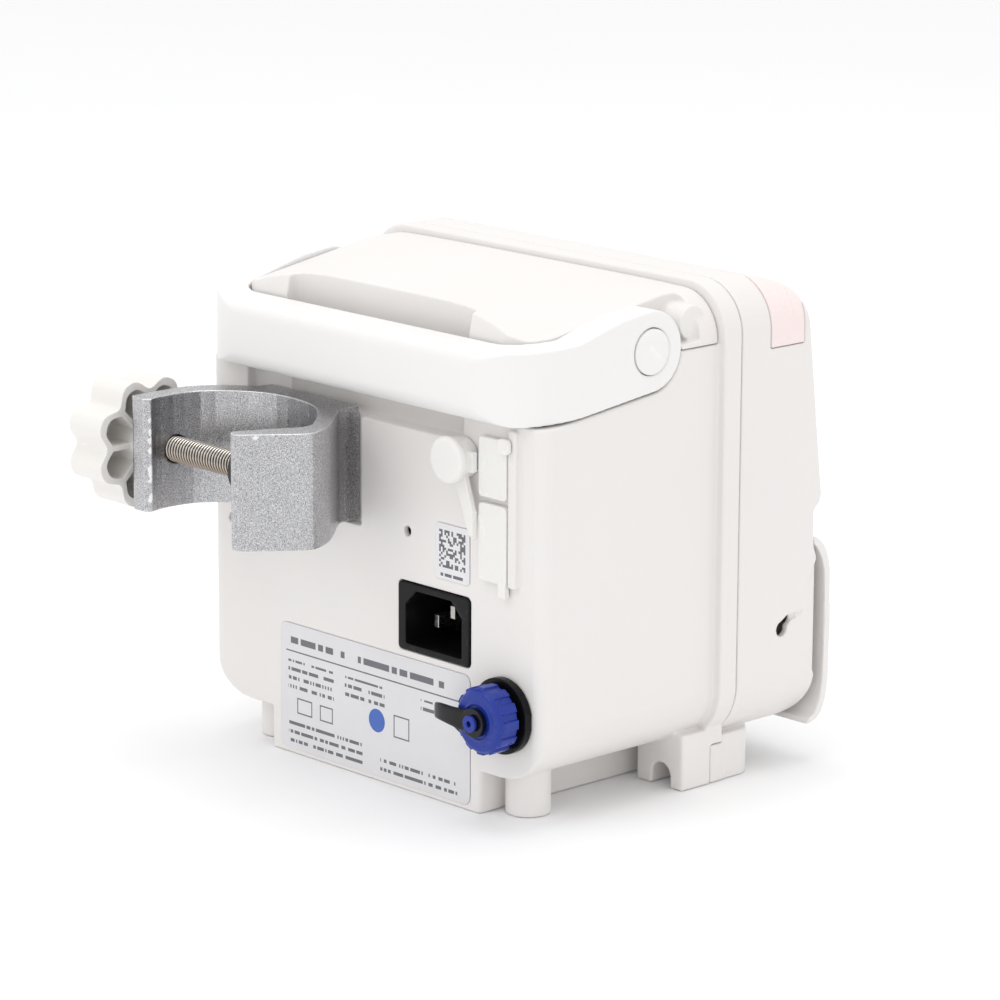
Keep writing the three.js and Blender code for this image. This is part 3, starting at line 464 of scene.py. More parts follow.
# ------------------------------------------------------------------ rear casing
plan = pZ(rrect(-HW, HW, -14, REAR, (0, 0, 5.5, 5.5), 12), 0, 170)
outer = common(pY(outline(HW, Z0, TOP, RT, RB), -14, REAR), plan)
outer = cut(outer, box(-90, 90, LIP, 90, COVER - 0.15, 170))
outer = add(outer, pY(outline(LW, 12, LTOP, 15.5, RB + 1), SEAM, LIP), pZ(rrect(-47.7, 46, -8, REAR, 1.2, 4), 0, Z0 + 8),
            cZ(6.7, 0, 16, 55.1, 45.7), cZ(6.7, 0, 16, -55.1, 45.7))
cavity = add(pY(outline(HW - WALL, Z0 + WALL, TOP - WALL, RT - WALL, RB - WALL), SEAM - 1, REAR - WALL),
             pY(outline(LW - WALL, 12 + WALL, LTOP - WALL, 13, RB - 1.4), SEAM - 1, SEAM + 4))
cavity = cut(cavity, recess_fat, well_fat, box(2, 64, 52.1, 80, 75, 120))
m = cut(outer, cavity, box(-45.3, 43.6, -5.6, REAR - WALL, -1, Z0 + 8), recess, well, pin_holes)
foot = cut(add(pZ(rrect(52.7, 72.2, -13, -1, (0, 0, 1, 1), 3), 0, Z0 + 4), box(52.7, 72.2, SEAM, -12.9, 12, 20)), pY([(59.2, -1), (67, -1)] + arc(63.1, 3.2, 3.9, 0, 180, 24), -10, 1), cY(1.7, -20, -5, 63.1, 4))
m = add(m, foot, mirror(foot), box(-5, 5, 48, REAR - 1, 3, 14))
IX, IZ, IW, IH = -27.8, 53.5, 30.6, 20.5
CX, CZ = -58.6, 32.5
m = cut(m, box(4.6, 56, 54.5, 80, 77, GZ0), cY(2.6, 45, 60, 28, 86), cY(2.6, 45, 60, 28, 104),
        pY(rrect(IX - IW / 2 - 0.3, IX + IW / 2 + 0.3, IZ - IH / 2 - 0.3, IZ + IH / 2 + 0.3, 1.4), 50, 60),
        cY(7.9, 40, 70, CX, CZ), box(-59.3, -49.7, 50, 60, 98, 111.4), box(-59.3, -49.7, 50, 60, 73.4, 91.8),
        cY(1.6, 50, 60, -15.9, 79.1), cY(1.6, 50, 60, 64.3, 68.8),
        pY(rrect(-43.6, 41.6, 1.1, 41, 3), REAR - 0.5, 60), pY(rrect(-43.2, -28.2, 67.4, 84.6, 1.5), REAR - 0.5, 60), cZ(1.4, -1, 11, 0, 52))
m = add(m, pY(rrect(-64, -60.7, 70.6, 117, 1.0), REAR - 1, 60), box(-60.9, -49, REAR - 1, 58.2, 94.6, 95.2))
piece("rear_casing_skin", soft(m, 0.42, 5, 0.22), M["casing"], "casing", "casing_plastic", "rear_casing")


# ------------------------------------------------------------------ top cover
def crown(x, y):
    t = max(0.0, (y - 2) / 54)
    a, c = 0.5 + 9 * t, TOP - 1.5 * t
    u = abs(x)
    e = HW - RT

    def f(v): return c - a * (min(v, 64) / 64) ** 4.2
    if u <= e:
        return f(u)
    d = min(u - e, RT)
    return f(e) - RT + math.sqrt(max(0.0, RT * RT - d * d))


def cover_ring(y, off, zb, n=60):
    w = HW - off
    top = []
    for i in range(n + 1):
        s = math.sin((1 - 2 * i / n) * math.pi / 2)
        top.append((s * w, y, max(zb + 0.2, crown(s * HW, y) - off)))
    return [(-w, y, zb), (w, y, zb)] + top


ys = [-10.7] + [2 + 54 * i / 18 for i in range(19)]
outer = loft([cover_ring(y, 0, COVER + 0.15) for y in ys])
inner = cut(loft([cover_ring(y, WALL, 120) for y in [-20] + [2 + 50 * i / 8 for i in range(9)]]), recess_fat, well_fat)
lean = pX([(56.4, 139), (54.2, 150), (54.2, 170), (80, 170), (80, 139)], -90, 90)
m = cut(outer, inner, recess, well, pin_holes, lean)
boss = cX(5, 64.0, 72.5, -2.2, 141.6)
m = add(m, boss, mirror(boss))
piece("top_cover_skin", soft(m, 0.36, 5, 0.3), M["casing"], "casing", "casing_plastic", "top_cover")


# ------------------------------------------------------------------ front casing, light bar, door
def front_side(o):
    return [(SEAM - 0.3 + (3 if o else 0), 8 + o), (SEAM - 0.3 + (3 if o else 0), LTOP - o), (-25, LTOP - o), (-32, 151 - o), (-35.6, 150.2 - o), (-38.9 + o * 0.5, 148.9 - o * 0.8),
            (-41.3 + o * 0.7, 147.5 - o * 0.7), (-43.2 + o * 0.8, 145.7 - o * 0.6), (-44.9 + o * 0.9, 143.2 - o * 0.4), (-46.1 + o, 140.2), (-46.9 + o, 137), (-52.7 + o, 88), (-53.4 + o, 83.5), (-52.4 + o, 80.6), (-50.2 + o, 79), (-50.2 + o, 20.5),
            (-49 + o, 20.3), (-43 + o, 22 + o * 0.6), (-40.3 + o, 20.5), (-39.6 + o, 16), (-39.8 + o, 8 + o)]


LEAN = math.atan(5.8 / 49)


def on_face(me):
    out = me.copy()
    out.transform(Matrix.Translation((0, -0.04986, 0.112)) @ Matrix.Rotation(-LEAN, 4, "X"))
    return out


front_outer = common(pY(outline(LW, 12, LTOP, 15.5, RB + 1), -60, SEAM - 0.3), pX(front_side(0), -90, 90))
inner = common(pY(outline(LW - WALL, 12 + WALL, LTOP - WALL, 13, RB - 1.4), -60, SEAM + 2), pX(front_side(WALL), -90, 90))
m = cut(front_outer, inner, box(50.7, 90, -44.7, -30.2, 130.7, 170), box(-90, -50.7, -44.7, -30.2, 130.7, 170))
ff = cut(add(pZ(rrect(53, 71.4, -33, -18.35, (7, 7, 0, 0)), 0, 14), box(53, 71.9, -19, -13.3, 0, 11.6)), cY(1.1, -26, -10, 63.1, 4))
m = add(m, ff, mirror(ff))
m = cut(m, on_face(pY(rrect(-62.3, 24.3, -22.3, 24.3, 2.3), -8, 8)))
for kx, kz in ((38, 15), (57, 15), (38, -9), (57, -9)):
    m = cut(m, on_face(pY(rrect(kx - 6.3, kx + 6.3, kz - 5.3, kz + 5.3, 2.3), -8, 8)))
cheek_c = [(-50.3, 72), (-50.5, 67.6), (-51.2, 66), (-51.7, 64.6), (-52, 62), (-52, 60), (-52, 24), (-51.7, 21.8), (-51.2, 19.8), (-50.4, 17.9), (-49.2, 16.2), (-47.7, 15), (-46, 14.2), (-43.5, 13.3), (-40.5, 12.6), (-36, 12.6), (-36, 72)]
cheek_i = [(-47.9, 70), (-48.1, 67.6), (-49.3, 64), (-49.6, 60), (-49.6, 25), (-48.8, 21.4), (-47.3, 18.6), (-45, 17), (-40.5, 15.4), (-34, 15.4), (-34, 70)]
cheek = common(pX(cheek_c, 66.3, 78), pY(outline(LW, 12, LTOP, 15.5, RB + 1), -60, -30))
hollow = common(pX(cheek_i, 68.7, 75.2), pY(outline(LW - WALL, 12 + WALL, LTOP - WALL, 13, RB - 1.4), -60, -30))
m = add(m, cheek, mirror(cheek))
m = cut(m, hollow, mirror(hollow))
m = cut(m, box(-66, 66, -60, -46, 25, 64))
hook = add(cX(2.3, 73, 80, -37.2, 44.4), pX([(-38.4, 44.2), (-36.4, 46.4), (-39.6, 48.4), (-41.4, 48.0), (-41.2, 46.4)], 73, 80),
           pX([(-40.4, 46.2), (-40.2, 48.1), (-43.4, 48.7), (-43.4, 46.9)], 76.2, 80), pX([(-43, 47), (-43, 48.7), (-46.4, 49.2), (-46.4, 47.8)], 76.9, 80))
bevel = common(pZ([(77.75, -44.6), (76.5, -53), (80, -53), (80, -44.6)], 20, 70), pX([(-44.6, 49), (-53, 66), (-53, 26), (-44.6, 40)], 70, 80))
m = cut(m, hook, mirror(hook), bevel, mirror(bevel))
kn = cut(add(cX(2.6, 34, 39.6, -46, 15.2), box(34, 39.6, -48, -44, 15.2, 22.4)), cX(1.5, 30, 42, -46, 15.2))
m = add(m, kn, mirror(kn))
piece("front_casing_skin", soft(m, 0.36, 8, 0.2), M["casing"], "casing", "casing_plastic", "front_casing")

bar = common(front_outer, box(51, 90, -44.4, -30.5, 131, 170))
bar = cut(bar, common(pY(outline(LW - 2.2, 100, LTOP - 2.2, 13.3, 13), -60, SEAM), pX(front_side(2.2), -90, 90)))
bar = soft(bar, 0.26, 3, 0.35)
piece("light_right_skin", bar, M["light"], "casing", "light_plastic", "alarm_light_right")
piece("light_left_skin", mirror(bar), M["light"], "casing", "light_plastic", "alarm_light_left")

outer_c = [(-50.9, 70.8), (-52.4, 70.2), (-53.8, 69.0), (-55.3, 67.2), (-56.4, 65.2), (-57.3, 62.6), (-57.8, 60), (-58.1, 52), (-58.2, 44), (-58.1, 34), (-57.8, 25), (-57.4, 21.6), (-56.6, 18.6), (-55.5, 16.0), (-54, 14), (-52.4, 12.7), (-50.4, 11.9), (-48, 11.6), (-46, 11.6)]
inner_c = [(-46, 13.2), (-49.8, 13.6), (-52.6, 15.4), (-54.6, 19.4), (-55.6, 25.5), (-56, 44), (-55.6, 59.4), (-54.4, 63.4), (-52.4, 66.8), (-50.9, 68.2)]
m = common(pX(outer_c + inner_c, -LW, LW), pY(rrect(-LW, LW, 11, 71, (4, 4, 3, 3)), -60, -44))
for s in (1, -1):
    b = add(cX(3.2, 40, 60, -46, 15.2), box(40, 60, -50.5, -46, 12, 15))
    m = add(m, b if s > 0 else mirror(b))
m = cut(m, box(61.5, 90, -50, -40, 8, 17), box(-90, -61.5, -50, -40, 8, 17), cX(1.5, -62, 62, -46, 15.2), box(-16.3, 16.3, -60, -40, 59.2, 80), box(33.5, 39.9, -50.2, -40, 10, 22), box(-39.9, -33.5, -50.2, -40, 10, 22))
piece("door_skin", soft(m, 0.38, 4, 0.25), M["casing"], "door", "casing_plastic", "door")
lever = pX([(-50.9, 70.8), (-53.8, 69.0), (-56.4, 65.2), (-57.9, 60), (-57.9, 59.6), (-55.6, 59.6), (-54.4, 63.4), (-52.4, 66.8), (-50.6, 68.2), (-50.6, 70.8)], -16, 16)
piece("door_latch_skin", soft(lever, 0.3, 4, 0.3), M["handle"], "latch", "handle_plastic", "door_latch")

for key, x, z, mat, slot in (("power_key", 57, 15, "grey", "key_grey"), ("menu_key", 38, 15, "grey", "key_grey"), ("start_key", 57, -9, "green", "key_green"), ("stop_key", 38, -9, "red", "key_red")):
    k = add(pY(rrect(x - 6, x + 6, z - 5, z + 5, 2), -0.9, 3.4), pY(rrect(x - 7, x + 7, z - 6, z + 6, 2), 2.9, 3.6))
    sym = []
    if key == "power_key":
        sym = [cut(pY(ring(x, z, 2.4, 40), -1.3, -0.6), pY(ring(x, z, 1.8, 40), -2, 0), box(x - 0.7, x + 0.7, -2, 0, z + 1, z + 3)), box(x - 0.3, x + 0.3, -1.3, -0.6, z + 0.2, z + 2.7)]
    elif key == "start_key":
        sym = [pY([(x - 1.6, z - 2), (x + 2, z), (x - 1.6, z + 2)], -1.3, -0.6)]
    elif key == "stop_key":
        sym = [pY([(x - 1.7, z - 1.7), (x + 1.7, z - 1.7), (x + 1.7, z + 1.7), (x - 1.7, z + 1.7)], -1.3, -0.6)]
    else:
        sym = [box(x - 2, x + 2, -1.3, -0.6, z + d, z + d + 0.5) for d in (-1.6, -0.25, 1.1)]
    k = add(k, *sym)
    piece(key + "_skin", soft(on_face(k), 0.2, 3, 0.3), M[mat], key, slot, key)
piece("display_lens_skin", sharp(on_face(pY(rrect(-62, 24, -22, 24, 2, 10), 0.1, 2.1)), 30, 0.3, 2), M["lens"], "casing", "lens_plastic", "display_lens")

# ------------------------------------------------------------------ carrying handle
AX0, AX1 = 65.0, 75.4
planp = ([(AX1, 0)] + arc(AX1 - 24, GY1 - 24, 24, 0, 90, 24) + arc(-AX1 + 24, GY1 - 24, 24, 90, 180, 24) + [(-AX1, 0), (-AX0, 0)]
         + arc(-AX0 + 14, 57.2 - 14, 14, 180, 90, 16) + arc(AX0 - 14, 57.2 - 14, 14, 90, 0, 16) + [(AX0, 0)])
m = common(pZ(planp, 90, 170), pX(arm_side(0), -90, 90))
m = cut(m, cX(3.4, -90, 90, PY, PZ), cX(7, 73, 90, PY, PZ), cX(7, -90, -73, PY, PZ))
piece("handle_skin", soft(m, 0.36, 14, 0.3), M["handle"], "handle", "handle_plastic", "handle")
for s, side in ((-1, "left"), (1, "right")):
    d = lathe([(0.0, 73.3), (6.7, 73.3), (6.7, 75.5), (6.3, 75.95), (5.2, 76.3), (3.6, 76.55), (1.8, 76.67), (0.0, 76.7)][1:-1] + [(0.01, 76.7), (0.01, 73.3)], "X", (PY, PZ))
    if s < 0:
        d = mirror(d)
    piece("pivot_cap_%s_skin" % side, sharp(d, 40), M["handle"], "handle", "handle_plastic", "pivot_cap_" + side)

# ------------------------------------------------------------------ pole clamp
pts = [(8.4, 54.9), (48.5, 54.9), (49.8, 60.2), (55, 64.3), (58.6, 67.8), (61.4, 71.8), (63.2, 75.8), (64, 80), (64, 96.2), (62.4, 97.4), (57.4, 97.4), (56, 95.4), (56.8, 93.2), (57.2, 91), (57.4, 86), (57, 82),
       (56.4, 79.4), (55.4, 77.2), (52.6, 73.4), (49.1, 70), (45.4, 66.9), (41.2, 64.6), (36.5, 63.2), (32, 62.8), (26, 63.2), (20.5, 64.2), (14.7, 66.6), (11.2, 69), (8.2, 71.5), (5.2, 74.2), (2.8, 76.7), (0.8, 79), (-0.6, 80.6), (-1.7, 82), (-2.6, 83.8), (-2.8, 85.6),
       (-2.8, 87.2), (-2.2, 88.7), (0.3, 92.9), (1.8, 95.8), (3.1, 98.8), (4.6, 102), (5.9, 105), (5.9, 106.2), (5.2, 107), (4.3, 107.7), (3.2, 107.9), (1.9, 107.8), (0.9, 107.2), (-8.6, 95), (-10.0, 93.2), (-10.7, 91.4), (-11, 89.8), (-10.9, 88.2), (-9.9, 85.4), (-8.4, 82.6), (-6.7, 79.8), (-4.7, 77.4), (-2.2, 74.5), (0.4, 71.6), (2.7, 69.2), (4.8, 66.9), (6.3, 65.2), (7.4, 63.8), (8.3, 61.4)]
SY, SZ = 85.0, 95.5
m = cut(pZ(pts, 78.0, 112.5), cX(4.25, 50, 70, SY, SZ), cY(2.3, 50, 60.2, 28, 86), cY(2.3, 50, 60.2, 28, 104))
piece("clamp_skin", soft(m, 0.26, 2, 0.3), M["alu"], "casing", "clamp_aluminium", "pole_clamp_body")

# threaded screw: one helical ridge, closed at both ends
def thread(x0, x1, y, z, r, pitch, n=36, depth=0.62):
    per = 10
    turns = (x1 - x0) / pitch
    rows = int(turns * per)
    v = []
    for i in range(rows + 1):
        x = x0 + (x1 - x0) * i / rows
        for k in range(n):
            a = 2 * math.pi * k / n
            ph = ((x - x0) / pitch - a / (2 * math.pi)) % 1.0
            h = abs(2 * ph - 1)
            h = min(1.0, max(0.0, (h - 0.1) / 0.8))
            fade = min(1.0, (x - x0) / (pitch * 1.2))
            rr = r - depth * (1 - h * fade)
            v.append((x, y + rr * math.cos(a), z + rr * math.sin(a)))
    f = [(i * n + k, i * n + (k + 1) % n, (i + 1) * n + (k + 1) % n, (i + 1) * n + k) for i in range(rows) for k in range(n)]
    f += [tuple(range(n)), tuple(range(rows * n, rows * n + n))]
    return mesh_of(v, f)


piece("clamp_screw_skin", sharp(thread(21.2, 78.0, SY, SZ, 3.95, 1.25), 50), M["thread"], "clamp_screw", "nickel_steel", "clamp_screw")
star = []
for i in range(192):
    a = i * 360 / 192
    r = 20.3 - 3.6 * (0.5 - 0.5 * math.cos(8 * math.radians(a) + math.pi)) ** 1.5
    star.append((SY + r * math.cos(math.radians(a)), SZ + r * math.sin(math.radians(a))))
k = add(pX(star, 69.5, 84.5), cX(7.8, 66.4, 70, SY, SZ))
k = cut(k, cX(4.25, 60, 78.3, SY, SZ))
inset = []
for y, z in star:
    d = math.hypot(y - SY, z - SZ)
    f = (d - 2.6) / d
    inset.append((SY + (y - SY) * f, SZ + (z - SZ) * f))
pocket = cut(pX(inset, 60, 81.2), cX(7.8, 50, 90, SY, SZ))
for i in range(4):
    a = math.radians(i * 45)
    u, v = (math.cos(a), math.sin(a)), (-math.sin(a), math.cos(a))
    rib = [(SY + p * u[0] + q * v[0], SZ + p * u[1] + q * v[1]) for p, q in ((-30, -0.85), (30, -0.85), (30, 0.85), (-30, 0.85))]
    pocket = cut(pocket, pX(rib, 50, 90))
k = cut(k, pocket)
piece("clamp_knob_skin", soft(k, 0.22, 2, 0.3), M["knob"], "clamp_screw", "knob_plastic", "clamp_knob")
pad = cut(cX(8, 18, 24, SY, SZ, 96), cX(4.25, 20.9, 30, SY, SZ))
piece("clamp_pad_skin", soft(pad, 0.25, 5, 0.4), M["pad"], "clamp_pad", "pad_rubber", "clamp_pad")

# ------------------------------------------------------------------ mains inlet
m = add(pY(rrect(IX - IW / 2, IX + IW / 2, IZ - IH / 2, IZ + IH / 2, 1.2), 54, 58.4), box(IX - 13.8, IX + 13.8, 34, 55, IZ - 9.6, IZ + 9.6))
w, h = 12.1, 8.25
m = cut(m, pY([(IX - w, IZ - h), (IX + w, IZ - h), (IX + w, IZ + h - 4.6), (IX + w - 4.6, IZ + h), (IX - w + 4.6, IZ + h), (IX - w, IZ + h - 4.6)], 38, 60))
for px, pz in ((IX, IZ + 2), (IX + 7, IZ - 2), (IX - 7, IZ - 2)):
    m = cut(m, box(px - 1.3, px + 1.3, 30, 40, pz - 2.3, pz + 2.3))
piece("mains_inlet_skin", soft(m, 0.22, 3, 0.3), M["inlet"], "casing", "black_plastic", "mains_inlet")
for nm, px, pz in (("earth", IX, IZ + 2), ("line", IX + 7, IZ - 2), ("neutral", IX - 7, IZ - 2)):
    blade = soft(box(px - 1, px + 1, 30, 50.8, pz - 2, pz + 2), 0.16, 4, 0.4)
    piece("inlet_pin_%s_skin" % nm, blade, M["pin"], "casing", "pin_metal", "inlet_pin_" + nm)

# ------------------------------------------------------------------ round connector, cap and strap
disc = common(pY(ring(CX, CZ, 11.3, 96), 58.3, 60.8), box(CX - 11, CX + 20, 50, 70, 0, 60))
m = add(disc, cY(7.6, 42, 58.4, CX, CZ), cY(7.4, 60, 66, CX, CZ))
m = cut(m, cY(5.8, 52, 72, CX, CZ))
piece("connector_skin", soft(m, 0.24, 3, 0.35), M["black"], "casing", "black_plastic", "connector_flange")
pts = []
for i in range(12):
    a = 30 * i
    pts += arc(CX, CZ, 10.1, a - 8, a + 8, 6) + arc(CX, CZ, 9.45, a + 9, a + 21, 6)
c = pY(pts, 62.3, 68.3)
c = add(c, lathe([(0.01, 68.2), (9.4, 68.2), (9.35, 68.4), (9.0, 68.9), (8.5, 69.25), (7.9, 69.35), (5.9, 69.35), (5.7, 69.6), (5.2, 69.6), (5.0, 69.3), (0.01, 69.3)], "Y", (CX, CZ), 96),
        cY(1.6, 69.2, 72.8, CX, CZ), cY(2.5, 71.8, 72.8, CX, CZ))
c = cut(c, cY(7.8, 60, 67.6, CX, CZ), pY(ring(CX, CZ, 1.0, 6), 71.2, 79))
piece("dust_cap_skin", soft(c, 0.14, 3, 0.3), M["cap"], "dust_cap", "cap_plastic", "dust_cap")


def strap(stations, n=24):
    """a soft strap through stations (x, y, z, half width, half thickness); its width stays upright"""
    fine = []
    for i in range(len(stations) - 1):
        q = [np.array(stations[max(0, min(len(stations) - 1, j))], float) for j in (i - 1, i, i + 1, i + 2)]
        for k in range(6):
            t = k / 6
            fine.append(0.5 * (2 * q[1] + (q[2] - q[0]) * t + (2 * q[0] - 5 * q[1] + 4 * q[2] - q[3]) * t * t + (3 * q[1] - q[0] - 3 * q[2] + q[3]) * t ** 3))
    fine.append(np.array(stations[-1], float))
    rings = []
    for i, p in enumerate(fine):
        d = fine[min(i + 1, len(fine) - 1)][:2] - fine[max(i - 1, 0)][:2]
        d = d / max(1e-9, float(np.hypot(*d)))
        pts = []
        for k in range(n):
            a = 2 * math.pi * k / n
            c, s = math.copysign(abs(math.cos(a)) ** 0.5, math.cos(a)), math.copysign(abs(math.sin(a)) ** 0.5, math.sin(a))
            pts.append((p[0] - d[1] * p[4] * c, p[1] + d[0] * p[4] * c, p[2] + p[3] * s))
        rings.append(pts)
    return loft(rings)


st = strap([(-56.6, 70.5, 32.5, 3.6, 0.85), (-54.5, 70.6, 32.5, 3.3, 0.85), (-50, 70.9, 32.7, 2.9, 0.85), (-45, 70.6, 32.9, 2.6, 0.85), (-41.6, 69.4, 32.5, 2.4, 0.8), (-40.2, 67.4, 31.6, 2.25, 0.8), (-40.8, 65.4, 30.4, 2.15, 0.8), (-43, 64, 28.8, 2.1, 0.8), (-46.2, 63.3, 26.6, 2, 0.8), (-48.8, 63.1, 24.6, 1.9, 0.8)])
eye = cY(4.3, 69.65, 71.4, CX, CZ)
t = cut(add(eye, st), cY(1.75, 60, 80, CX, CZ))
piece("dust_cap_strap_skin", soft(t, 0.15, 5, 0.35), M["strap"], "cap_strap", "black_rubber", "dust_cap_tether")

# ------------------------------------------------------------------ port covers
button = lathe([(0.01, 58.3), (6.2, 58.3), (6.2, 63.2), (6.9, 63.9), (6.9, 65.2), (6.5, 65.8), (5.6, 66), (0.01, 66)], "Y", (-40.9, 105.8), 72)
m = add(button, pY([(-48.6, 102.8), (-42, 102.4), (-42, 109.2), (-48.6, 108.6)], 60.4, 62.2),
        pY([(-48.6, 83.2), (-46.6, 84.6), (-43.8, 92.5), (-40.2, 99.8), (-37.6, 101.8), (-44.6, 103.2), (-46.4, 97.5), (-48.6, 91)], 60.4, 62.2))
piece("cover_anchor_skin", soft(m, 0.2, 7, 0.35), M["silicone"], "casing", "soft_cover", "cover_anchor")
m = add(pY(rrect(-60.3, -48.7, 96, 113.6, 1.4, 6), 58.35, 60.1), box(-58.6, -50, 57, 58.6, 98.4, 111), pY(rrect(-62.8, -58, 110, 114.6, 1.6, 6), 60.3, 61.6), box(-60.3, -58, 59.9, 61.6, 110, 113.6),
        pY([(-51.4, 103.2), (-49.0, 102.8), (-49.0, 108.6), (-51.4, 108.2)], 59.6, 60.35))
piece("port_cover_upper_skin", soft(m, 0.18, 6, 0.35), M["silicone"], "port_cover_upper", "soft_cover", "port_cover_upper")
m = add(pY(rrect(-60.3, -48.7, 71.2, 94.2, 1.4, 6), 58.35, 60.1), box(-58.6, -50, 57, 58.6, 73.8, 91.4), box(-60.3, -57.2, 58.6, 60.4, 67.4, 72),
        pY([(-51.4, 80.9), (-49.0, 83.2), (-49.0, 90.4), (-51.4, 87)], 59.6, 60.35))
piece("port_cover_lower_skin", soft(m, 0.18, 6, 0.35), M["silicone"], "port_cover_lower", "soft_cover", "port_cover_lower")


# ------------------------------------------------------------------ labels
def label(name, node, x0, x1, z0, z1, r, kind):
    m = Mat(name)
    sep = m.n.new("ShaderNodeSeparateXYZ")
    m.l.new(m.co, sep.inputs["Vector"])
    X, Z = sep.outputs["X"], sep.outputs["Z"]
    base = (0.74, 0.735, 0.755) if kind == "rating" else (0.80, 0.795, 0.81)
    film = m.mix(m.ramp(m.noise(60.0, 4.0), 0.0, 1.0), (*base, 1), (*[v * 0.95 for v in base], 1))
    ink = (0.10, 0.10, 0.12, 1)
    total = None

    def inside(a0, a1, b0, b1):
        # 1 inside a rectangle, in millimetres
        p = m.math("MULTIPLY", m.math("GREATER_THAN", X, a0 * S), m.math("LESS_THAN", X, a1 * S))
        q = m.math("MULTIPLY", m.math("GREATER_THAN", Z, b0 * S), m.math("LESS_THAN", Z, b1 * S))
        return m.math("MULTIPLY", p, q)

    def dashes(a0, a1, b0, b1, step, height, word, seed):
        # rows of short bars: a stand-in for print that says nothing
        row = m.math("DIVIDE", m.math("SUBTRACT", Z, b0 * S), step * S)
        fr = m.math("FRACT", row)
        line = m.math("LESS_THAN", fr, height)
        t = m.n.new("ShaderNodeTexWhiteNoise")
        t.noise_dimensions = "2D"
        comb = m.n.new("ShaderNodeCombineXYZ")
        m.l.new(m.math("FLOOR", m.math("DIVIDE", X, word * S)), comb.inputs["X"])
        m.l.new(m.math("ADD", m.math("FLOOR", row), seed), comb.inputs["Y"])
        m.l.new(comb.outputs["Vector"], t.inputs["Vector"])
        on = m.math("GREATER_THAN", t.outputs["Value"], 0.28)
        return m.math("MULTIPLY", m.math("MULTIPLY", line, on), inside(a0, a1, b0, b1))

    parts = []
    blue = None
    if kind == "rating":
        # the viewer sees +X on the left: a title row with an underline, small rows, plain marks
        parts += [dashes(12, 37, 34.6, 37.2, 2.6, 0.78, 1.15, 3), dashes(-33, 6, 34.6, 37.2, 2.6, 0.78, 1.15, 8), inside(-40.5, 38.9, 31.9, 32.35),
                  dashes(17, 38, 20.4, 29.4, 2.75, 0.40, 0.62, 5), dashes(-6, 12, 23.2, 29.4, 2.75, 0.40, 0.62, 11), dashes(-38, -22, 26.0, 29.4, 2.75, 0.40, 0.62, 19),
                  dashes(4, 38, 3.4, 11.6, 2.75, 0.38, 0.62, 27), dashes(-38, -4, 3.4, 8.9, 2.75, 0.38, 0.62, 40)]
        for u0, u1, v0, v1 in ((-17, -10, 15, 22), (27, 34, 12.8, 17.8), (17.5, 23.5, 12.8, 17.8)):
            parts.append(m.math("SUBTRACT", inside(u0, u1, v0, v1), inside(u0 + 0.45, u1 - 0.45, v0 + 0.45, v1 - 0.45)))
        dx = m.math("SUBTRACT", X, -2.5 * S)
        dz = m.math("SUBTRACT", Z, 18.5 * S)
        blue = m.math("LESS_THAN", m.math("ADD", m.math("MULTIPLY", dx, dx), m.math("MULTIPLY", dz, dz)), (3.6 * S) ** 2)
    else:
        # an invented dot pattern
        t = m.n.new("ShaderNodeTexWhiteNoise")
        t.noise_dimensions = "2D"
        comb = m.n.new("ShaderNodeCombineXYZ")
        m.l.new(m.math("FLOOR", m.math("DIVIDE", X, 0.75 * S)), comb.inputs["X"])
        m.l.new(m.math("FLOOR", m.math("DIVIDE", Z, 0.75 * S)), comb.inputs["Y"])
        m.l.new(comb.outputs["Vector"], t.inputs["Vector"])
        parts += [m.math("MULTIPLY", m.math("GREATER_THAN", t.outputs["Value"], 0.5), inside(-41.25, -30.0, 71.25, 82.5)), dashes(-41, -30, 68.6, 70.2, 1.6, 0.6, 0.6, 5)]
    for p in parts:
        total = p if total is None else m.math("MAXIMUM", total, p)
    if blue is not None:
        film = m.mix(blue, film, (0.05, 0.13, 0.47, 1))
    m.link(m.mix(m.math("MULTIPLY", total, 0.93 if kind == "rating" else 0.96), film, ink), "Base Color")
    m.link(m.ramp(m.noise(150.0, 3.0), 0.30, 0.42), "Roughness")
    m.link(m.bump(m.noise(500.0, 3.0), 0.06, 0.00005), "Normal")
    me = sharp(pY(rrect(x0, x1, z0, z1, r, 12), 57.8, 58.1), 40)
    piece(node + "_skin", me, m.m, "casing", "label_film", node)


label("rating_film", "rating_label", -43.3, 41.3, 1.4, 40.7, 2.7, "rating")
label("code_film", "code_label", -42.9, -28.5, 67.7, 84.3, 1.2, "code")


# ------------------------------------------------------------------ screws
def screw(name, body, r, length, axis, at, sign, node, mat, slot, socket="cross"):
    """a domed head with a recess and a plain shank; at: the head's outer face, sign: which way the head looks"""
    h = [(0.01, 0), (r * 0.55, 0), (r * 0.9, -0.25), (r, -0.6), (r, -1.1), (r * 0.42, -1.1), (r * 0.42, -length), (0.01, -length)]
    a = {"X": 0, "Y": 1, "Z": 2}[axis]
    c = [at[i] for i in range(3) if i != a]
    me = lathe([(q, at[a] + sign * d) for q, d in h], axis, c, 40)
    lo, hi = sorted((at[a] + sign * 0.5, at[a] - sign * 0.7))
    for q, p in ((r * 0.55, r * 0.13), (r * 0.13, r * 0.55)):
        rect = [(c[0] - q, c[1] - p), (c[0] + q, c[1] - p), (c[0] + q, c[1] + p), (c[0] - q, c[1] + p)]
        me = cut(me, prism(rect, axis, lo, hi))
    piece(name, sharp(me, 30), M[mat], body, slot, node)


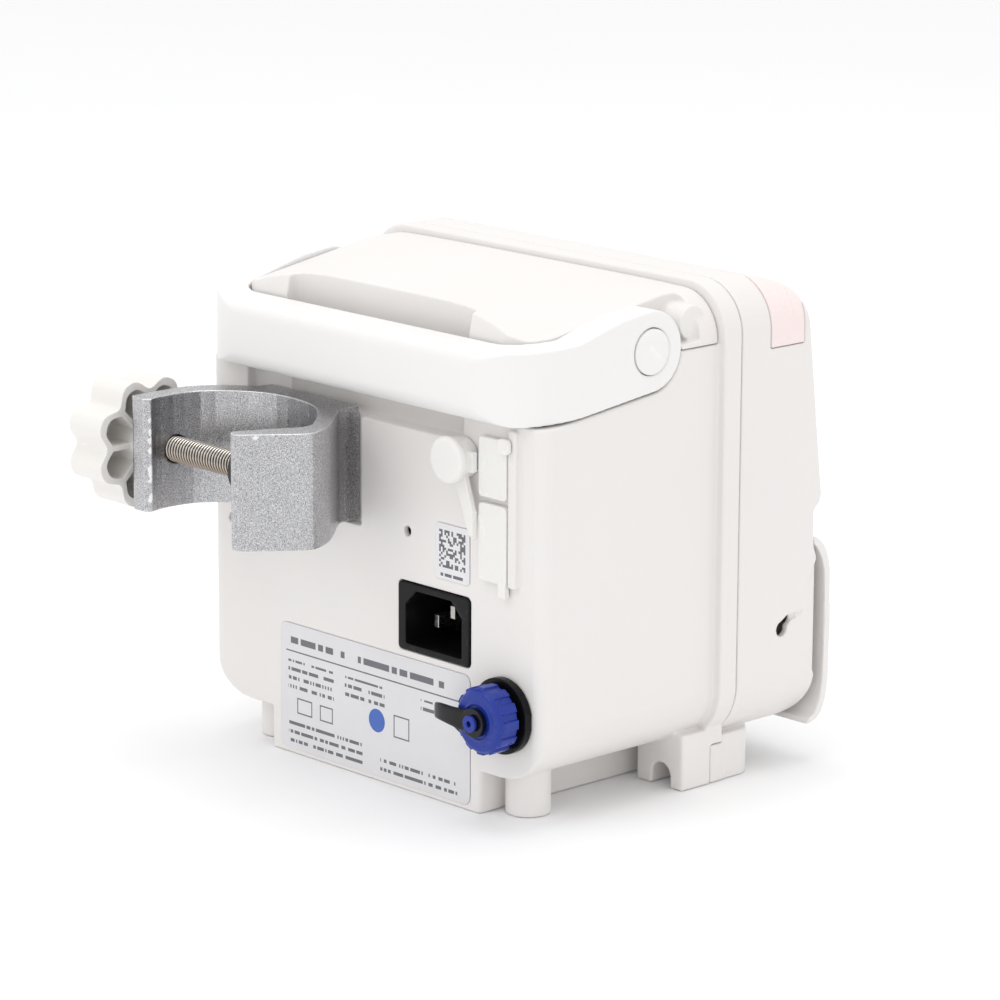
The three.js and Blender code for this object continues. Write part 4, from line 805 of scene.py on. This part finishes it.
screw("rear_screw_left_skin", "casing", 1.3, 7.2, "Y", (-15.9, 55.4, 79.1), 1, "rear_screw_left", "zinc", "screw_steel")
screw("rear_screw_right_skin", "casing", 1.3, 7.2, "Y", (64.3, 55.4, 68.8), 1, "rear_screw_right", "zinc", "screw_steel")
screw("foot_screw_left_skin", "casing", 2.3, 14.0, "Y", (-63.1, -7.6, 4), 1, "foot_screw_left", "nickel", "screw_steel")
screw("foot_screw_right_skin", "casing", 2.3, 14.0, "Y", (63.1, -7.6, 4), 1, "foot_screw_right", "nickel", "screw_steel")
screw("battery_door_screw_skin", "casing", 2.6, 9.2, "Z", (0, 52, 0.2), -1, "battery_door_screw", "nickel", "screw_steel")

# ------------------------------------------------------------------ the pieces that keep their CAD shape
KEEP = {"door_hinge_pin": "nickel", "platen": "cast", "lcd_module": "dark", "port_shell_upper": "pin", "port_shell_lower": "pin", "clamp_fix_screw_lower": "nickel", "clamp_fix_screw_upper": "nickel",
        "pivot_pin_left": "nickel", "pivot_pin_right": "nickel", "battery_door": "casing", "battery_pack": "pack", "main_board": "board", "power_supply_board": "board", "speaker": "dark", "pump_chassis": "cast",
        "air_sensor": "dark", "camshaft": "steel", "finger_1": "acetal", "finger_2": "acetal", "finger_3": "acetal", "finger_4": "acetal", "stepper_motor": "dark", "motor_pulley": "steel", "drive_belt": "pad"}
for node, mat in KEEP.items():
    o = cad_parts[node]
    for s in o.material_slots:
        s.material = M[mat]
    if not o.material_slots:
        o.data.materials.append(M[mat])

for o in (_a, _b):
    bpy.data.objects.remove(o)
scene.collection.children.unlink(_pad)
bpy.data.collections.remove(_pad)

# ------------------------------------------------------------------ floor and light
bm = bmesh.new()
bmesh.ops.create_grid(bm, x_segments=2, y_segments=2, size=6.0)
fm = bpy.data.meshes.new("floor")
bm.to_mesh(fm)
bm.free()
floor = bpy.data.objects.new("floor", fm)
floor.location.z = -0.0002
scene.collection.objects.link(floor)
F = Mat("floor_pale")
F.link(F.mix(F.ramp(F.noise(3.0, 3.0), 0.0, 1.0), (0.96, 0.96, 0.965, 1), (0.95, 0.95, 0.955, 1)), "Base Color")
F.link(F.ramp(F.noise(40.0, 3.0), 0.62, 0.7), "Roughness")
fm.materials.append(F.m)

world = bpy.data.worlds.new("world")
scene.world = world
world.use_nodes = True
world.node_tree.nodes["Background"].inputs["Color"].default_value = (1.0, 1.0, 1.0, 1)
world.node_tree.nodes["Background"].inputs["Strength"].default_value = 0.96


def area(name, at, target, size, power, colour=(1, 1, 1)):
    d = bpy.data.lights.new(name, "AREA")
    d.shape, d.size, d.energy, d.color = "SQUARE", size, power, colour
    o = bpy.data.objects.new(name, d)
    o.location = at
    o.rotation_euler = (Vector(target) - Vector(at)).to_track_quat("-Z", "Y").to_euler()
    scene.collection.objects.link(o)


area("key", (0.3, 1.1, 1.25), (0, 0, 0.08), 0.7, 2.3)
area("fill", (-1.4, 0.1, 0.7), (0, 0, 0.08), 0.8, 0.5)
area("top", (0, 0, 1.6), (0, 0, 0), 1.0, 5.4)

scene.view_settings.view_transform = "Standard"
scene.view_settings.look = "None"
scene.view_settings.exposure = 0.0
